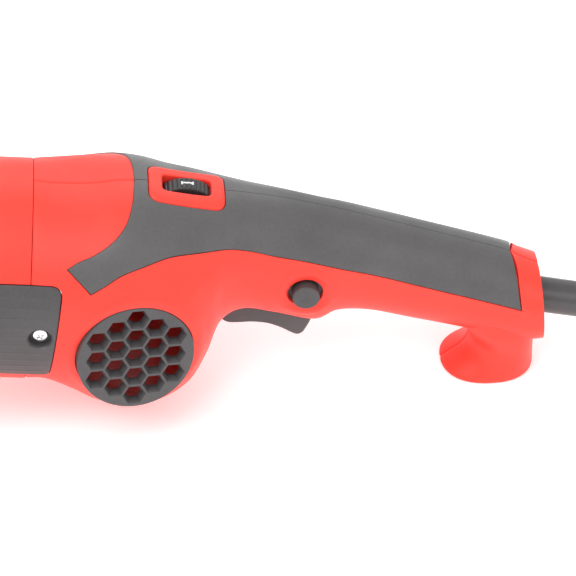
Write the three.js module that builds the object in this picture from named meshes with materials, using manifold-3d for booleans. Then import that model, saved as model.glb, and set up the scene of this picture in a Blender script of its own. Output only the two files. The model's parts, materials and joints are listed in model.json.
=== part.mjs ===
// Rotary polisher for car paint: a motor in a round housing, a right-angle gear head that turns a
// foam pad, a loop handle in front and a long rear handle with trigger, speed dial and foot.
//
// Millimetres. The machine is drawn in its own frame: the motor shaft runs along +X to the rear,
// the spindle runs along Z through the origin, and -Y is the left side. The machine group is then
// turned by REST_TILT and lifted, so that it lies on the pad's rear edge and on the foot.
import * as THREE from "three";
import { mergeVertices } from "three/addons/utils/BufferGeometryUtils.js";
import Module from "manifold-3d";

const wasm = await Module();
wasm.setup();

// ---------- driving dimensions ----------
const GAP = 0.3; // between pieces that touch
const REST_TILT = 6; // degrees, tail down, as it lies on the table

// motor housing
const BODY_R = 48.5; // outside radius of the motor housing
const BODY_WALL = 3.2;
const BODY_FRONT = 46; // where the gear head bolts on
const BODY_LENGTH = 117; // to the seam with the rear handle
const SEAM_X = BODY_FRONT + BODY_LENGTH;
const REAR_SEAT = SEAM_X - 11; // where the rear bearing's seat begins

// rear handle
const HANDLE_LENGTH = 236.5; // from the seam to the end cap
const HANDLE_WALL = 3.2;
const GRIP_SKIN = 1.4; // how deep the soft grip is let into the shell
const GRIP_RISE = 0.6; // how far it stands out of it
const GRILLE_R = 25.6;
const GRILLE_THICK = 4;
const HEX_PITCH = 9.75;
const HEX_R = 3.9; // corner radius of one hole
const FOOT_HALF_WIDTH = 19;
const BUTTON_R = 6;
const DIAL_R = 15;
const DIAL_WIDTH = 7.6;
const TRIGGER_WIDTH = 18;
const GUARD_R = 8.1; // cord guard
const GUARD_LENGTH = 52;
const GUARD_DROOP = 7; // degrees below the motor axis
const CORD_R = 3.75;

// brush covers
const COVER_FRONT = SEAM_X - 51;
const COVER_HALF_HEIGHT = 24.6;
const COVER_RISE = 0.8;
const COVER_DEPTH = 1.6;

// motor
const SHAFT_R = 5;
const ARMATURE_R = 24.5;
const ARMATURE_FRONT = BODY_FRONT + 28;
const ARMATURE_LENGTH = BODY_LENGTH - 69;
const COIL_INSIDE = ARMATURE_R + 4.5; // field coils
const COIL_OUTSIDE = BODY_R - 9.5;
const FAN_R = 33;
const COMMUTATOR_R = 16.5;
const BRUSH_X = SEAM_X - 22;

// gears: straight bevels whose cones meet at the origin
const MODULE = 2.1;
const PINION_TEETH = 8;
const CROWN_TEETH = 30;
const TOOTH_LENGTH = 0.32; // share of the cone distance that the teeth fill
const BACKLASH = 0.85; // gap between flanks at the pitch circle

// gear head and spindle
const HEAD_R = 40;
const HEAD_TOP = 21;
const HEAD_BOTTOM = -24;
const SPINDLE_R = 7.5;
const LOCK_AT = 15; // spindle lock pin, ahead of the spindle
const LOCK_PIN_R = 2.1;
const LOCK_TRAVEL = 4;

// pad
const PLATE_R = 80;
const PAD_R = 88;
const PAD_TOP = -BODY_R - 5.8;
const HUB_END = PAD_TOP + 4.3; // lower end of the plate's threaded hub
const PAD_THICK = 19.5;
const PAD_ROUND = 6; // radius of the pad's lower edge

// front loop handle
const LOOP_HALF_WIDTH = 62;
const LOOP_REACH = 74; // from the side bolts to the bar
const LOOP_LEAN = 24; // degrees forward
const LOOP_BAR_R = 8;
const LOOP_Z = 2; // height of the side bolts
const EAR_R = 11; // bosses on the gear head
const EAR_FACE = LOOP_HALF_WIDTH - 18;
const LUG_R = 12; // flat rings on the loop's ends
const LUG_THICK = 9;
const LUG_INNER = EAR_FACE + 0.4;

// cord, from the guard to a coil and a plug on the table
const COIL_BEHIND = 95; // from the guard's tip back to the coil's middle
const COIL_R = 45; // middle of its turns
const COIL_COLUMNS = 3; // cords side by side
const COIL_LAYERS = 3; // and on each other
const PLUG_BEHIND = 44; // from the guard's tip back to the plug
const PLUG_R = 12.2;
const PLUG_LIFT = PLUG_R + 0.4; // height of its middle
const PLUG_LENGTH = 38;
const PLUG_PIN_LENGTH = 19;

// ---------- small helpers ----------
const rad = THREE.MathUtils.degToRad;

function solid(geometry) {
  const bare = geometry.clone();
  bare.deleteAttribute("normal");
  bare.deleteAttribute("uv");
  const merged = mergeVertices(bare, 1e-4);
  const from = merged.index.array;
  const kept = [];
  for (let i = 0; i < from.length; i += 3) {
    const [a, b, c] = from.subarray(i, i + 3);
    if (a !== b && b !== c && c !== a) kept.push(a, b, c);
  }
  const vertProperties = merged.attributes.position.array;
  const make = (list) =>
    new wasm.Manifold(new wasm.Mesh({ numProp: 3, vertProperties, triVerts: Uint32Array.from(list) }));
  const made = make(kept);
  return made.volume() > 0 ? made : make(kept.reverse());
}

function geometryOf(manifold) {
  const { vertProperties, triVerts } = manifold.getMesh();
  const geometry = new THREE.BufferGeometry();
  geometry.setAttribute("position", new THREE.BufferAttribute(Float32Array.from(vertProperties), 3));
  geometry.setIndex(new THREE.BufferAttribute(Uint32Array.from(triVerts), 1));
  return geometry;
}

const fold = (how) => (first, ...rest) =>
  geometryOf(rest.reduce((sum, next) => sum[how](solid(next)), solid(first)));
const join = fold("add");
const cut = fold("subtract");
const common = fold("intersect");

// A profile of [distance along, radius] pairs turned about an axis.
function turn(profile, sides = 32, axis = "x") {
  const points = profile.map(([along, r]) => new THREE.Vector2(r, along));
  const geometry = new THREE.LatheGeometry(points, sides);
  if (axis === "x") geometry.rotateZ(-Math.PI / 2);
  if (axis === "z") geometry.rotateX(Math.PI / 2);
  return geometry;
}

// A rod or a tube about an axis, from one place on it to another; at is its offset across the axis.
function rod(axis, r, from, to, at = [0, 0], sides = 24) {
  const geometry = turn([[from, 0], [from, r], [to, r], [to, 0]], sides, axis);
  return shift(geometry, axis, at);
}

function tube(axis, inner, outer, from, to, at = [0, 0], sides = 32) {
  const profile = [[from, inner], [from, outer], [to, outer], [to, inner], [from, inner]];
  return shift(turn(profile, sides, axis), axis, at);
}

function shift(geometry, axis, [a, b]) {
  if (axis === "x") return geometry.translate(0, a, b);
  if (axis === "y") return geometry.translate(a, 0, b);
  return geometry.translate(a, b, 0);
}

function box(x0, x1, y0, y1, z0, z1) {
  const geometry = new THREE.BoxGeometry(x1 - x0, y1 - y0, z1 - z0);
  return geometry.translate((x0 + x1) / 2, (y0 + y1) / 2, (z0 + z1) / 2);
}

// A side-view outline of [x, z] points, extruded along Y.
function slab(outline, y0, y1) {
  const shape = new THREE.Shape(outline.map(([x, z]) => new THREE.Vector2(x, z)));
  const geometry = new THREE.ExtrudeGeometry(shape, { depth: y1 - y0, bevelEnabled: false });
  return geometry.rotateX(Math.PI / 2).translate(0, y1, 0);
}

// Part of a ring about the motor axis; angles are in degrees from the middle direction.
function sector(inner, outer, middle, half, x0, x1, steps = 5) {
  const shape = new THREE.Shape();
  const [a, b] = [rad(middle - half), rad(middle + half)];
  shape.absarc(0, 0, outer, a, b, false);
  shape.absarc(0, 0, inner, b, a, true);
  const options = { depth: x1 - x0, bevelEnabled: false, curveSegments: steps };
  const geometry = new THREE.ExtrudeGeometry(shape, options);
  // shape x -> world y, shape y -> world z, depth -> world x
  const turned = new THREE.Matrix4().makeBasis(
    new THREE.Vector3(0, 1, 0), new THREE.Vector3(0, 0, 1), new THREE.Vector3(1, 0, 0));
  return geometry.applyMatrix4(turned).translate(x0, 0, 0);
}

// A closed skin over rings of equally many points.
function skin(rings) {
  const n = rings[0].length;
  const position = rings.flat().flat();
  const index = [];
  rings.slice(1).forEach((_, i) => {
    for (let j = 0; j < n; j += 1) {
      const [a, b] = [i * n + j, i * n + ((j + 1) % n)];
      index.push(a, a + n, b, b, a + n, b + n);
    }
  });
  for (const [ring, flip] of [[rings[0], false], [rings.at(-1), true]]) {
    const centre = ring.reduce((sum, p) => sum.map((v, k) => v + p[k] / n), [0, 0, 0]);
    const hub = position.length / 3;
    position.push(...centre);
    const base = flip ? (rings.length - 1) * n : 0;
    for (let j = 0; j < n; j += 1) {
      const edge = [base + j, base + ((j + 1) % n)];
      index.push(hub, ...(flip ? edge.reverse() : edge));
    }
  }
  const geometry = new THREE.BufferGeometry();
  geometry.setAttribute("position", new THREE.Float32BufferAttribute(position, 3));
  geometry.setIndex(index);
  return geometry;
}

const mirrored = (geometry) => geometry.clone().scale(1, -1, 1);

const finish = (color, roughness, metalness = 0) =>
  new THREE.MeshStandardMaterial({ color, roughness, metalness });
const redPlastic = () => finish(0xf0402c, 0.42);
const softGrip = () => finish(0x5c5a5b, 0.7);
const darkPlastic = () => finish(0x3a3a3c, 0.5);
const blackPlastic = () => finish(0x1f1f21, 0.5);
const steel = () => finish(0xb8babd, 0.3, 1);
const castAluminium = () => finish(0xa9abae, 0.5, 0.9);
const copper = () => finish(0xb56a3a, 0.4, 0.9);
const carbon = () => finish(0x2a2a2a, 0.8);
const foam = () => finish(0xf2b21c, 0.95);

function piece(name, geometry, material) {
  const made = geometryOf(solid(geometry));
  made.computeVertexNormals();
  const mesh = new THREE.Mesh(made, material);
  mesh.name = name;
  return mesh;
}

// ---------- rear handle shape ----------
// The handle's sections from the seam to the end cap, drawn for a body of radius 48.5 and a handle
// 236.5 long: top [along, height], bottom [along, height], half width, squareness above and below.
const DRAWN_R = 48.5;
const DRAWN_LENGTH = 236.5;
const SECTIONS = [
  [0, 48.5, 0, -48, 48.5, 2, 2],
  [12, 47.8, 9, -48, 49, 2.2, 2],
  [25, 48.5, 20, -50.5, 49, 2.35, 2.3],
  [36, 50.5, 31, -54, 48.8, 2.3, 2.7],
  [47, 50.8, 45, -56, 48, 2.2, 3],
  [58, 49.3, 59, -53.5, 45.5, 2.1, 3],
  [68, 48, 72, -44, 41.5, 2.1, 3],
  [76, 47.4, 79, -30, 35.5, 2.1, 3],
  [84, 46.9, 84, -14.5, 29, 2.1, 2.8],
  [93, 46.2, 94, -9.5, 24.5, 2.1, 2.6],
  [107, 44.5, 109, -12.5, 22, 2.1, 2.6],
  [125, 41.2, 127, -16.5, 20.5, 2.1, 2.6],
  [137, 38.6, 137, -11.5, 20, 2.1, 2.3],
  [155, 34.3, 151, -11, 19.5, 2.1, 2.2],
  [172, 30, 170, -14.5, 19.5, 2.1, 2.2],
  [192, 25, 189, -18, 19.5, 2.1, 2.2],
  [210, 20.2, 207, -22, 19.8, 2.1, 2.2],
  [218, 17, 223, -27, 20.3, 2.1, 2.3],
  [226, 13.6, 236.5, -30, 20.3, 2.1, 2.4],
];
const LENGTH_SCALE = HANDLE_LENGTH / DRAWN_LENGTH;
const HEIGHT_SCALE = BODY_R / DRAWN_R;

// A place on the handle's side view, from its drawn distance behind the seam and its height.
const at = (along, height) => [SEAM_X + along * LENGTH_SCALE, height * HEIGHT_SCALE];

// One section between the rows, by a Catmull-Rom curve through them.
function section(s) {
  const i = Math.min(Math.floor(s), SECTIONS.length - 2);
  const t = s - i;
  const row = (k) => SECTIONS[Math.max(0, Math.min(SECTIONS.length - 1, k))];
  const [topX, topZ, bottomX, bottomZ, half, squareTop, squareBottom] = row(i).map((b, k) => {
    const [a, c, d] = [row(i - 1)[k], row(i + 1)[k], row(i + 2)[k]];
    return b + 0.5 * t * (c - a + t * (2 * a - 5 * b + 4 * c - d + t * (3 * (b - c) + d - a)));
  });
  const [top, bottom] = [at(topX, topZ), at(bottomX, bottomZ)];
  return { top, bottom, half: half * HEIGHT_SCALE, squareTop, squareBottom };
}

// The outline's outward direction in the side view, at the top or the bottom of section s.
function outward(s, side) {
  const step = 0.05;
  const last = SECTIONS.length - 1;
  const a = section(Math.max(0, s - step))[side];
  const b = section(Math.min(last, s + step))[side];
  const [dx, dz] = [b[0] - a[0], b[1] - a[1]];
  const size = Math.hypot(dx, dz);
  return side === "top" ? [-dz / size, dx / size] : [dz / size, -dx / size];
}

// The handle's closed form, grown by an offset; ahead and short move its two ends forward.
function handleForm(offset, ahead = 0, short = 0, sides = 16) {
  const rings = [];
  const last = SECTIONS.length - 1;
  for (let s = 0; s <= last; s += 1) {
    const { top, bottom, half, squareTop, squareBottom } = section(s);
    const [up, down] = [outward(s, "top"), outward(s, "bottom")];
    const move = s === 0 ? ahead : s === last ? short : 0;
    const [tx, tz] = [top[0] + up[0] * offset - move, top[1] + up[1] * offset];
    const [bx, bz] = [bottom[0] + down[0] * offset - move, bottom[1] + down[1] * offset];
    const ring = [];
    for (let j = 0; j < sides; j += 1) {
      const angle = (j / sides) * 2 * Math.PI;
      const c = Math.cos(angle);
      const m = c > 0 ? squareTop : squareBottom;
      const across = Math.sign(Math.sin(angle)) * Math.pow(Math.max(0, 1 - Math.abs(c) ** m), 1 / m);
      const flat = Math.abs(Math.sin(angle)) < 1e-9 ? 0 : across * (half + offset);
      ring.push([(tx + bx) / 2 + ((tx - bx) / 2) * c, -flat, (tz + bz) / 2 + ((tz - bz) / 2) * c]);
    }
    rings.push(ring);
  }
  return skin(rings);
}

// Height and half width of the handle at a distance behind the seam.
function handleAt(x) {
  let [low, high] = [0, SECTIONS.length - 1];
  for (let k = 0; k < 30; k += 1) {
    const middle = (low + high) / 2;
    if (section(middle).top[0] < x) low = middle;
    else high = middle;
  }
  return section(low);
}

// Side view of the soft grip: a tongue that starts low on the flank, rises to the top and runs back.
const grow = (outline, by) => {
  const n = outline.length;
  return outline.map((p, i) => {
    const [a, b] = [outline[(i + n - 1) % n], outline[(i + 1) % n]];
    const [dx, dz] = [b[0] - a[0], b[1] - a[1]];
    const size = Math.hypot(dx, dz);
    return [p[0] + (dz / size) * by, p[1] - (dx / size) * by];
  });
};
const GRIP_OUTLINE = [
  [14, 31], [17, 25.5], [24, 23.5], [31, 28], [40, 31.5], [50, 34], [62, 35], [74, 34.7], [84, 33.8],
  [94, 31.5], [105, 28.3], [116, 25.8], [127, 23], [149, 18.5], [171, 13.2], [193, 7.8], [214, 2.5],
  [217, 5], [215.5, 14], [210.5, 26], [205, 60], [45, 60], [43, 49.5], [40, 45.5], [36.5, 42.3],
  [27, 37], [20, 34.5],
].map(([along, height]) => at(along, height));

// The dial sits in a raised frame on the ridge; the grip leaves room for it.
const [DIAL_X, RIDGE_AT_DIAL] = [at(65.5, 0)[0], handleAt(at(65.5, 0)[0]).top[1]];
const DIAL_Z = RIDGE_AT_DIAL + 2.4 - DIAL_R;
const FRAME_HALF = [DIAL_R + 1.6, DIAL_WIDTH / 2 + 8.6];
const WINDOW_HALF = [Math.sqrt(DIAL_R ** 2 - (RIDGE_AT_DIAL - DIAL_Z) ** 2) + 2, DIAL_WIDTH / 2 + 1.6];

function plate(halfX, halfY, z0, z1, round) {
  const shape = new THREE.Shape();
  const [x, y, r] = [halfX, halfY, round];
  shape.absarc(x - r, y - r, r, 0, Math.PI / 2, false);
  shape.absarc(-x + r, y - r, r, Math.PI / 2, Math.PI, false);
  shape.absarc(-x + r, -y + r, r, Math.PI, 1.5 * Math.PI, false);
  shape.absarc(x - r, -y + r, r, 1.5 * Math.PI, 2 * Math.PI, false);
  const options = { depth: z1 - z0, bevelEnabled: false, curveSegments: 2 };
  return new THREE.ExtrudeGeometry(shape, options).translate(DIAL_X, 0, z0);
}

// ---------- places on the rear handle ----------
const GRILLE_AT = [...at(46.5, -8.5)];
const GRILLE_Y = 47.6 * HEIGHT_SCALE;
const GRILLE_YAW = 10;
const GRILLE_TILT = 7;
const BUTTON_AT = at(120.4, 7.3);
const BUTTON_FACE = handleAt(BUTTON_AT[0]).half + 2.4;
const GUARD_AT = at(232.8, -4.7);
const TRIGGER_PIVOT = at(88.5, -7);
const SCREWS = [at(17, -36), at(83, 4), at(159, 6)];
const COVER_SCREW_X = SEAM_X + 4.8;
const COVER_REAR = SEAM_X + 13;

// Puts a shape drawn about the -Y direction on the left grille's axis.
function onGrille(geometry) {
  const [x, z] = GRILLE_AT;
  return geometry.rotateX(rad(-GRILLE_TILT)).rotateZ(rad(GRILLE_YAW)).translate(x, -GRILLE_Y, z);
}

// Puts a shape drawn about +X on the cord guard's axis.
function onGuard(geometry) {
  return geometry.rotateY(rad(GUARD_DROOP)).translate(GUARD_AT[0], 0, GUARD_AT[1]);
}

// The table as the machine's frame sees it: a height along the table's own upward direction.
const [TILT_COS, TILT_SIN] = [Math.cos(rad(REST_TILT)), Math.sin(rad(REST_TILT))];
const PAD_BOTTOM = PAD_TOP - PAD_THICK;
const TABLE_HEIGHT =
  -TILT_SIN * (PAD_R - PAD_ROUND) + TILT_COS * (PAD_BOTTOM + PAD_ROUND) - PAD_ROUND;

// The foot in the table's frame: [height, front reach, rear reach, half width as a share].
const FOOT_ROWS = [
  [0, 20.4, 20.6, 0.97], [2, 20.8, 21, 1], [5, 18.4, 20.8, 0.91], [8, 13.4, 20.6, 0.8],
  [11.5, 8.8, 20.6, 0.75], [17.5, 7.5, 20.6, 0.74], [36, 7.4, 20.6, 0.74],
];

function footForm(inset, sides = 14) {
  const [x] = at(211, 0);
  const alongTable = (x + TABLE_HEIGHT * TILT_SIN) / TILT_COS;
  const rings = FOOT_ROWS.map(([height, front, rear, wide], i) => {
    const [a, b] = [(front + rear) / 2 - inset, FOOT_HALF_WIDTH * wide - inset];
    const centre = alongTable + (rear - front) / 2;
    const h = i === 0 ? height + inset : Math.max(height, inset * 1.4);
    return Array.from({ length: sides }, (_, j) => {
      const angle = (j / sides) * 2 * Math.PI;
      return [centre + a * Math.cos(angle), b * Math.sin(angle), TABLE_HEIGHT + h];
    });
  });
  return skin(rings).rotateY(rad(-REST_TILT));
}

// ---------- housings ----------
function coverForm(rise, depth, margin) {
  const half = THREE.MathUtils.radToDeg(Math.asin((COVER_HALF_HEIGHT + margin) / BODY_R));
  const ring = sector(BODY_R - depth, BODY_R + rise, 180, half, COVER_FRONT - margin, COVER_REAR + margin);
  const [x0, x1, z] = [COVER_FRONT - margin, COVER_REAR + margin, COVER_HALF_HEIGHT + margin];
  const outline = [[x0, -z], [x1 - 4, -z], [x1, z - 5], [x1 - 1.4, z - 1.4], [x1 - 5, z], [x0, z]];
  return common(ring, slab(outline, -BODY_R - rise - 1, 0));
}

const COVER_POCKET = coverForm(4, COVER_DEPTH + GAP, GAP);
const coverCup = (r, from, to) => rod("y", r, -BODY_R + from, -BODY_R + to, [COVER_SCREW_X, 1], 12);

function motorHousing() {
  const [front, rear] = [BODY_FRONT + GAP, SEAM_X - 0.2];
  const inner = BODY_R - BODY_WALL;
  const bearingR = 13.4;
  const seatEnd = REAR_SEAT + 9;
  const shell = turn([
    [front, inner], [front, BODY_R], [rear, BODY_R], [rear, inner], [REAR_SEAT, inner],
    [REAR_SEAT, bearingR + 3], [seatEnd, bearingR + 3], [seatEnd, bearingR], [REAR_SEAT, bearingR],
    [REAR_SEAT, 8], [REAR_SEAT - 3, 8], [REAR_SEAT - 3, inner],
    [front, inner],
  ], 28);
  const bosses = screwCircle().map((place) =>
    common(rod("x", 6.2, front, front + 18, place, 10), rod("x", inner + 1, front, rear, [0, 0], 28)));
  const bolts = screwCircle().map((place) => rod("x", 2.2, front - 1, front + 16, place, 10));
  const vents = [45, 135, 225, 315].map((angle) =>
    rod("x", 8, REAR_SEAT - 4, REAR_SEAT + 1, [30 * Math.cos(rad(angle)), 30 * Math.sin(rad(angle))], 10));
  const holder = box(BRUSH_X - 6.4, BRUSH_X + 6.4, -BODY_R + 0.9, -BODY_R + 10.5, -8.4, 8.4);
  const pockets = [COVER_POCKET, mirrored(COVER_POCKET)];
  const cups = [coverCup(6.6, -4, 5.4), mirrored(coverCup(6.6, -4, 5.4))];
  return cut(join(shell, ...bosses), ...bolts, ...vents, holder, mirrored(holder), ...pockets, ...cups);
}

// The four screws that hold the gear head, on a circle about the motor axis.
function screwCircle() {
  const r = BODY_R - 8.5;
  return [45, 135, 225, 315].map((angle) => [r * Math.cos(rad(angle)), r * Math.sin(rad(angle))]);
}

function gearHousing() {
  const rear = BODY_FRONT;
  const barrel = turn([
    [0, 0], [0, 34], [18, 35], [rear - 9, 35], [rear - 9, BODY_R - 1],
    [rear, BODY_R - 1], [rear, 0],
  ], 24);
  const head = turn([
    [HEAD_BOTTOM, 0], [HEAD_BOTTOM, HEAD_R], [HEAD_TOP - 8, HEAD_R], [HEAD_TOP - 2.5, HEAD_R - 3],
    [HEAD_TOP, HEAD_R - 9], [HEAD_TOP, 0],
  ], 24, "z");
  const ears = rod("y", EAR_R, -EAR_FACE, EAR_FACE, [0, LOOP_Z], 20);
  const below = rod("z", HEAD_R + 0.8, HEAD_BOTTOM - 20, HEAD_BOTTOM + 1, [0, 0], 24);
  const trimmed = cut(barrel, below, box(-50, 1, -60, 60, -60, 60));
  const body = join(head, trimmed, ears);
  const chamber = rod("z", 35.5, HEAD_BOTTOM - 1, 10, [0, 0], 24);
  return cut(
    body, chamber,
    rod("x", 11.5, 10, 40, [0, 0], 16),
    rod("x", 16.3, 37.9, rear + 1, [0, 0], 20),
    rod("z", 9.3, 5, 17, [0, 0], 16),
    rod("z", 7.4, HEAD_TOP - LOCK_TRAVEL - 0.8, HEAD_TOP + 5, [-LOCK_AT, 0], 16),
    rod("z", LOCK_PIN_R + GAP, 0, HEAD_TOP, [-LOCK_AT, 0], 8),
    rod("y", 4, EAR_FACE - 7, LOOP_HALF_WIDTH, [0, LOOP_Z], 16),
    rod("y", 4, -LOOP_HALF_WIDTH, 7 - EAR_FACE, [0, LOOP_Z], 16),
    ...screwCircle().map((place) => rod("x", 2.2, rear - 12, rear + 1, place, 12)),
  );
}

function bearingCover() {
  const [nose, top] = [HEAD_BOTTOM - 10, HEAD_BOTTOM + 4.6];
  return turn([
    [nose, 10], [nose, 22], [HEAD_BOTTOM - 6, 24], [HEAD_BOTTOM - 6, HEAD_R - 1],
    [HEAD_BOTTOM - GAP, HEAD_R - 1], [HEAD_BOTTOM - GAP, 35.2], [top, 35.2], [top, 17.8],
    [nose + 3, 17.8], [nose + 3, 10], [nose, 10],
  ], 24, "z");
}

function leftShell() {
  const outer = join(handleForm(0), footForm(0));
  const inner = join(
    handleForm(-HANDLE_WALL, 8, HANDLE_WALL * 1.5),
    footForm(HANDLE_WALL * 0.8),
  );
  const recess = common(
    cut(handleForm(3), handleForm(-GRIP_SKIN - GAP)),
    slab(grow(GRIP_OUTLINE, GAP), -70, 70),
  );
  const frame = common(plate(...FRAME_HALF, 30, 60, 3.5), cut(handleForm(1.2), handleForm(-2)));
  const bossAxes = SCREWS.map((place) => common(rod("y", 5.2, -60, 60, place, 8), handleForm(-2.4)));
  const [pivotX, pivotZ] = TRIGGER_PIVOT;
  const pinSeat = common(box(pivotX - 4, pivotX + 4, -14.5, -8, pivotZ - 4, pivotZ + 4), handleForm(-1));
  const cup = coverCup(8.5, 2.6, 16);
  const cupHole = join(coverCup(6.6, -4, 5.4), coverCup(2, 4, 18));
  const whole = join(cut(outer, recess), frame);
  const hollow = join(cut(whole, inner), ...bossAxes, pinSeat, cup);
  const opened = cut(
    hollow,
    onGrille(rod("y", GRILLE_R + GAP, -12, 12, [0, 0], 24)),
    COVER_POCKET, cupHole,
    rod("y", BUTTON_R + 1.6, -40, -5, BUTTON_AT, 16),
    rod("y", BUTTON_R + 3.2, -BUTTON_FACE + 5.9, -5, BUTTON_AT, 16),
    plate(...WINDOW_HALF, 20, 60, 2.5),
    rod("y", DIAL_R + 0.8, -DIAL_WIDTH / 2 - 0.8, DIAL_WIDTH / 2 + 0.8, [DIAL_X, DIAL_Z], 20),
    rod("y", 2, -13.4, 1, TRIGGER_PIVOT, 8),
    onGuard(rod("x", GUARD_R + 2.9, -18, -11.2, [0, 0], 12)),
    triggerSlot(),
    onGuard(rod("x", GUARD_R + GAP, -30, 20, [0, 0], 16)),
    ...SCREWS.map((place) => rod("y", 2.1, -12, 1, place, 8)),
  );
  const step = box(SEAM_X + 0.2, SEAM_X + 2 * HANDLE_LENGTH, -90, -0.1, -120, 90);
  return common(opened, step);
}

function rightShell() {
  // the left shell's mirror image, with screw holes right through and no lock button
  const plug = common(
    rod("y", BUTTON_R + 2.4, -40, -5, BUTTON_AT, 24),
    cut(handleForm(-0.05), handleForm(-HANDLE_WALL)),
  );
  const closed = mirrored(join(leftShell(), common(plug, box(0, 999, -60, -3, -60, 60))));
  const heads = SCREWS.map((place) => rod("y", 4.1, 11, 60, place, 10));
  return cut(closed, ...heads, ...SCREWS.map((place) => rod("y", 2.1, -1, 60, place, 8)));
}

function leftGrip() {
  const layer = cut(handleForm(GRIP_RISE), handleForm(-GRIP_SKIN));
  const frameGap = plate(FRAME_HALF[0] + GAP, FRAME_HALF[1] + GAP, 20, 70, 3.8);
  return common(
    cut(common(layer, slab(GRIP_OUTLINE, -70, 70)), frameGap),
    box(0, 999, -90, -0.1, -90, 90),
  );
}

function brushCover() {
  const face = coverForm(COVER_RISE, COVER_DEPTH, 0);
  const cup = coverCup(6.2, 0.5, 5);
  return cut(join(face, cup), coverCup(4.85, -6, 2.6), coverCup(1.9, 0, 9));
}

function coverScrew() {
  const [face, seat, tip] = [-BODY_R + 1.4, -BODY_R + 2.3, -BODY_R + 15];
  const screw = turn([[face, 0], [face, 3.4], [seat, 3.4], [seat, 1.6], [tip, 1.6], [tip, 0]], 14, "y");
  return screw.translate(COVER_SCREW_X, 0, 1);
}

function ventGrille() {
  const disc = rod("y", GRILLE_R, -0.5, GRILLE_THICK - 0.5, [0, 0], 24);
  const holes = [];
  for (let column = -2; column <= 2; column += 1) {
    const count = 5 - Math.abs(column);
    for (let k = 0; k < count; k += 1) {
      const x = column * HEX_PITCH * Math.cos(Math.PI / 6);
      const z = (k - (count - 1) / 2) * HEX_PITCH;
      const hole = rod("y", HEX_R, -5, GRILLE_THICK + 5, [0, 0], 6);
      holes.push(hole.rotateY(Math.PI / 6).translate(x, 0, z));
    }
  }
  return onGrille(cut(disc, ...holes));
}

// ---------- controls ----------
const TRIGGER_OUTLINE = [
  [86, -10], [86, -19], [89, -20.6], [100, -19.7], [107, -20.2], [113, -22.4], [118, -25.3],
  [121, -26.4], [123.5, -25], [126.4, -17.8], [127, -9], [122, -5.8], [93, -4.8], [88, -5.5],
].map(([along, height]) => at(along, height));

function triggerSlot() {
  const [front] = at(84.6, 0);
  const [rear] = at(128.6, 0);
  return box(front, rear, -TRIGGER_WIDTH / 2 - 0.6, TRIGGER_WIDTH / 2 + 0.6, at(0, -34)[1], at(0, 1)[1]);
}

function trigger() {
  const body = slab(TRIGGER_OUTLINE, -TRIGGER_WIDTH / 2, TRIGGER_WIDTH / 2);
  return cut(body, rod("y", 2.05, -20, 20, TRIGGER_PIVOT, 14));
}

function lockButton() {
  const [x, z] = BUTTON_AT;
  const y = -BUTTON_FACE;
  return turn([
    [y, 0], [y, BUTTON_R - 0.8], [y + 0.8, BUTTON_R], [y + 6.2, BUTTON_R], [y + 6.2, BUTTON_R + 2.6],
    [y + 7.6, BUTTON_R + 2.6], [y + 7.6, 0],
  ], 24, "y").translate(x, 0, z);
}

function speedDial() {
  const wheel = turn([
    [-DIAL_WIDTH / 2, 3.3], [-DIAL_WIDTH / 2, DIAL_R - 0.6], [-DIAL_WIDTH / 2 + 0.6, DIAL_R],
    [DIAL_WIDTH / 2 - 0.6, DIAL_R], [DIAL_WIDTH / 2, DIAL_R - 0.6], [DIAL_WIDTH / 2, 3.3],
    [-DIAL_WIDTH / 2, 3.3],
  ], 24, "y");
  return wheel.translate(DIAL_X, 0, DIAL_Z);
}

function speedBoard() {
  const [x, z] = [DIAL_X, DIAL_Z];
  const board = box(x - 20, x + 16, 9, 10.6, z - 24, z + 1);
  const pot = rod("y", 6.4, DIAL_WIDTH / 2 + 1, 9.5, [x, z], 16);
  const stem = rod("y", 3, -DIAL_WIDTH / 2 - 1, 9, [x, z], 16);
  const heatSink = box(x - 18, x - 8, 10, 19, z - 22, z - 4);
  return join(board, pot, stem, heatSink);
}

function switchBody() {
  const [x, z] = at(89, 2);
  const body = box(x, x + 31, -9, 9, z, z + 19);
  return join(body, box(x + 4, x + 9, -6, 6, z + 18, z + 24), box(x + 20, x + 25, -6, 6, z + 18, z + 24));
}

function cordGuard() {
  const [r, end] = [GUARD_R, GUARD_LENGTH];
  return onGuard(turn([
    [-22, 0], [-22, 4.6], [-14.8, 4.6], [-14.8, r + 2.4], [-11.6, r + 2.4], [-11.6, r],
    [end * 0.55, r], [end * 0.8, r * 0.85], [end, CORD_R + 1.6], [end, 0],
  ], 16));
}

function cordClamp() {
  const [x, z] = GUARD_AT;
  const bar = box(x - 21, x - 15.5, -12, 12, z + 1, z + 10);
  return cut(bar, onGuard(rod("x", 4.9, -30, -10)));
}

// ---------- motor ----------
function statorCore() {
  const [x0, x1] = [ARMATURE_FRONT - 1, ARMATURE_FRONT + ARMATURE_LENGTH + 1];
  const ring = tube("x", ARMATURE_R + 0.9, BODY_R - BODY_WALL - 0.5, x0, x1, [0, 0], 24);
  const channels = [90, 270].flatMap((pole) =>
    [-1, 1].map((side) =>
      sector(COIL_INSIDE - 0.4, COIL_OUTSIDE + 0.4, pole + side * 63, 8.5, x0 - 1, x1 + 1, 3)));
  return cut(ring, ...channels);
}

function fieldCoil(pole) {
  const [x0, x1] = [ARMATURE_FRONT - 8, ARMATURE_FRONT + ARMATURE_LENGTH + 8];
  const ends = [[x0, x0 + 6], [x1 - 6, x1]].map(([a, b]) =>
    sector(COIL_INSIDE, COIL_OUTSIDE, pole, 70.5, a, b, 6));
  const runs = [-1, 1].map((side) =>
    sector(COIL_INSIDE, COIL_OUTSIDE, pole + side * 63, 7.5, x0 + 3, x1 - 3, 3));
  return join(...ends, ...runs);
}

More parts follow.
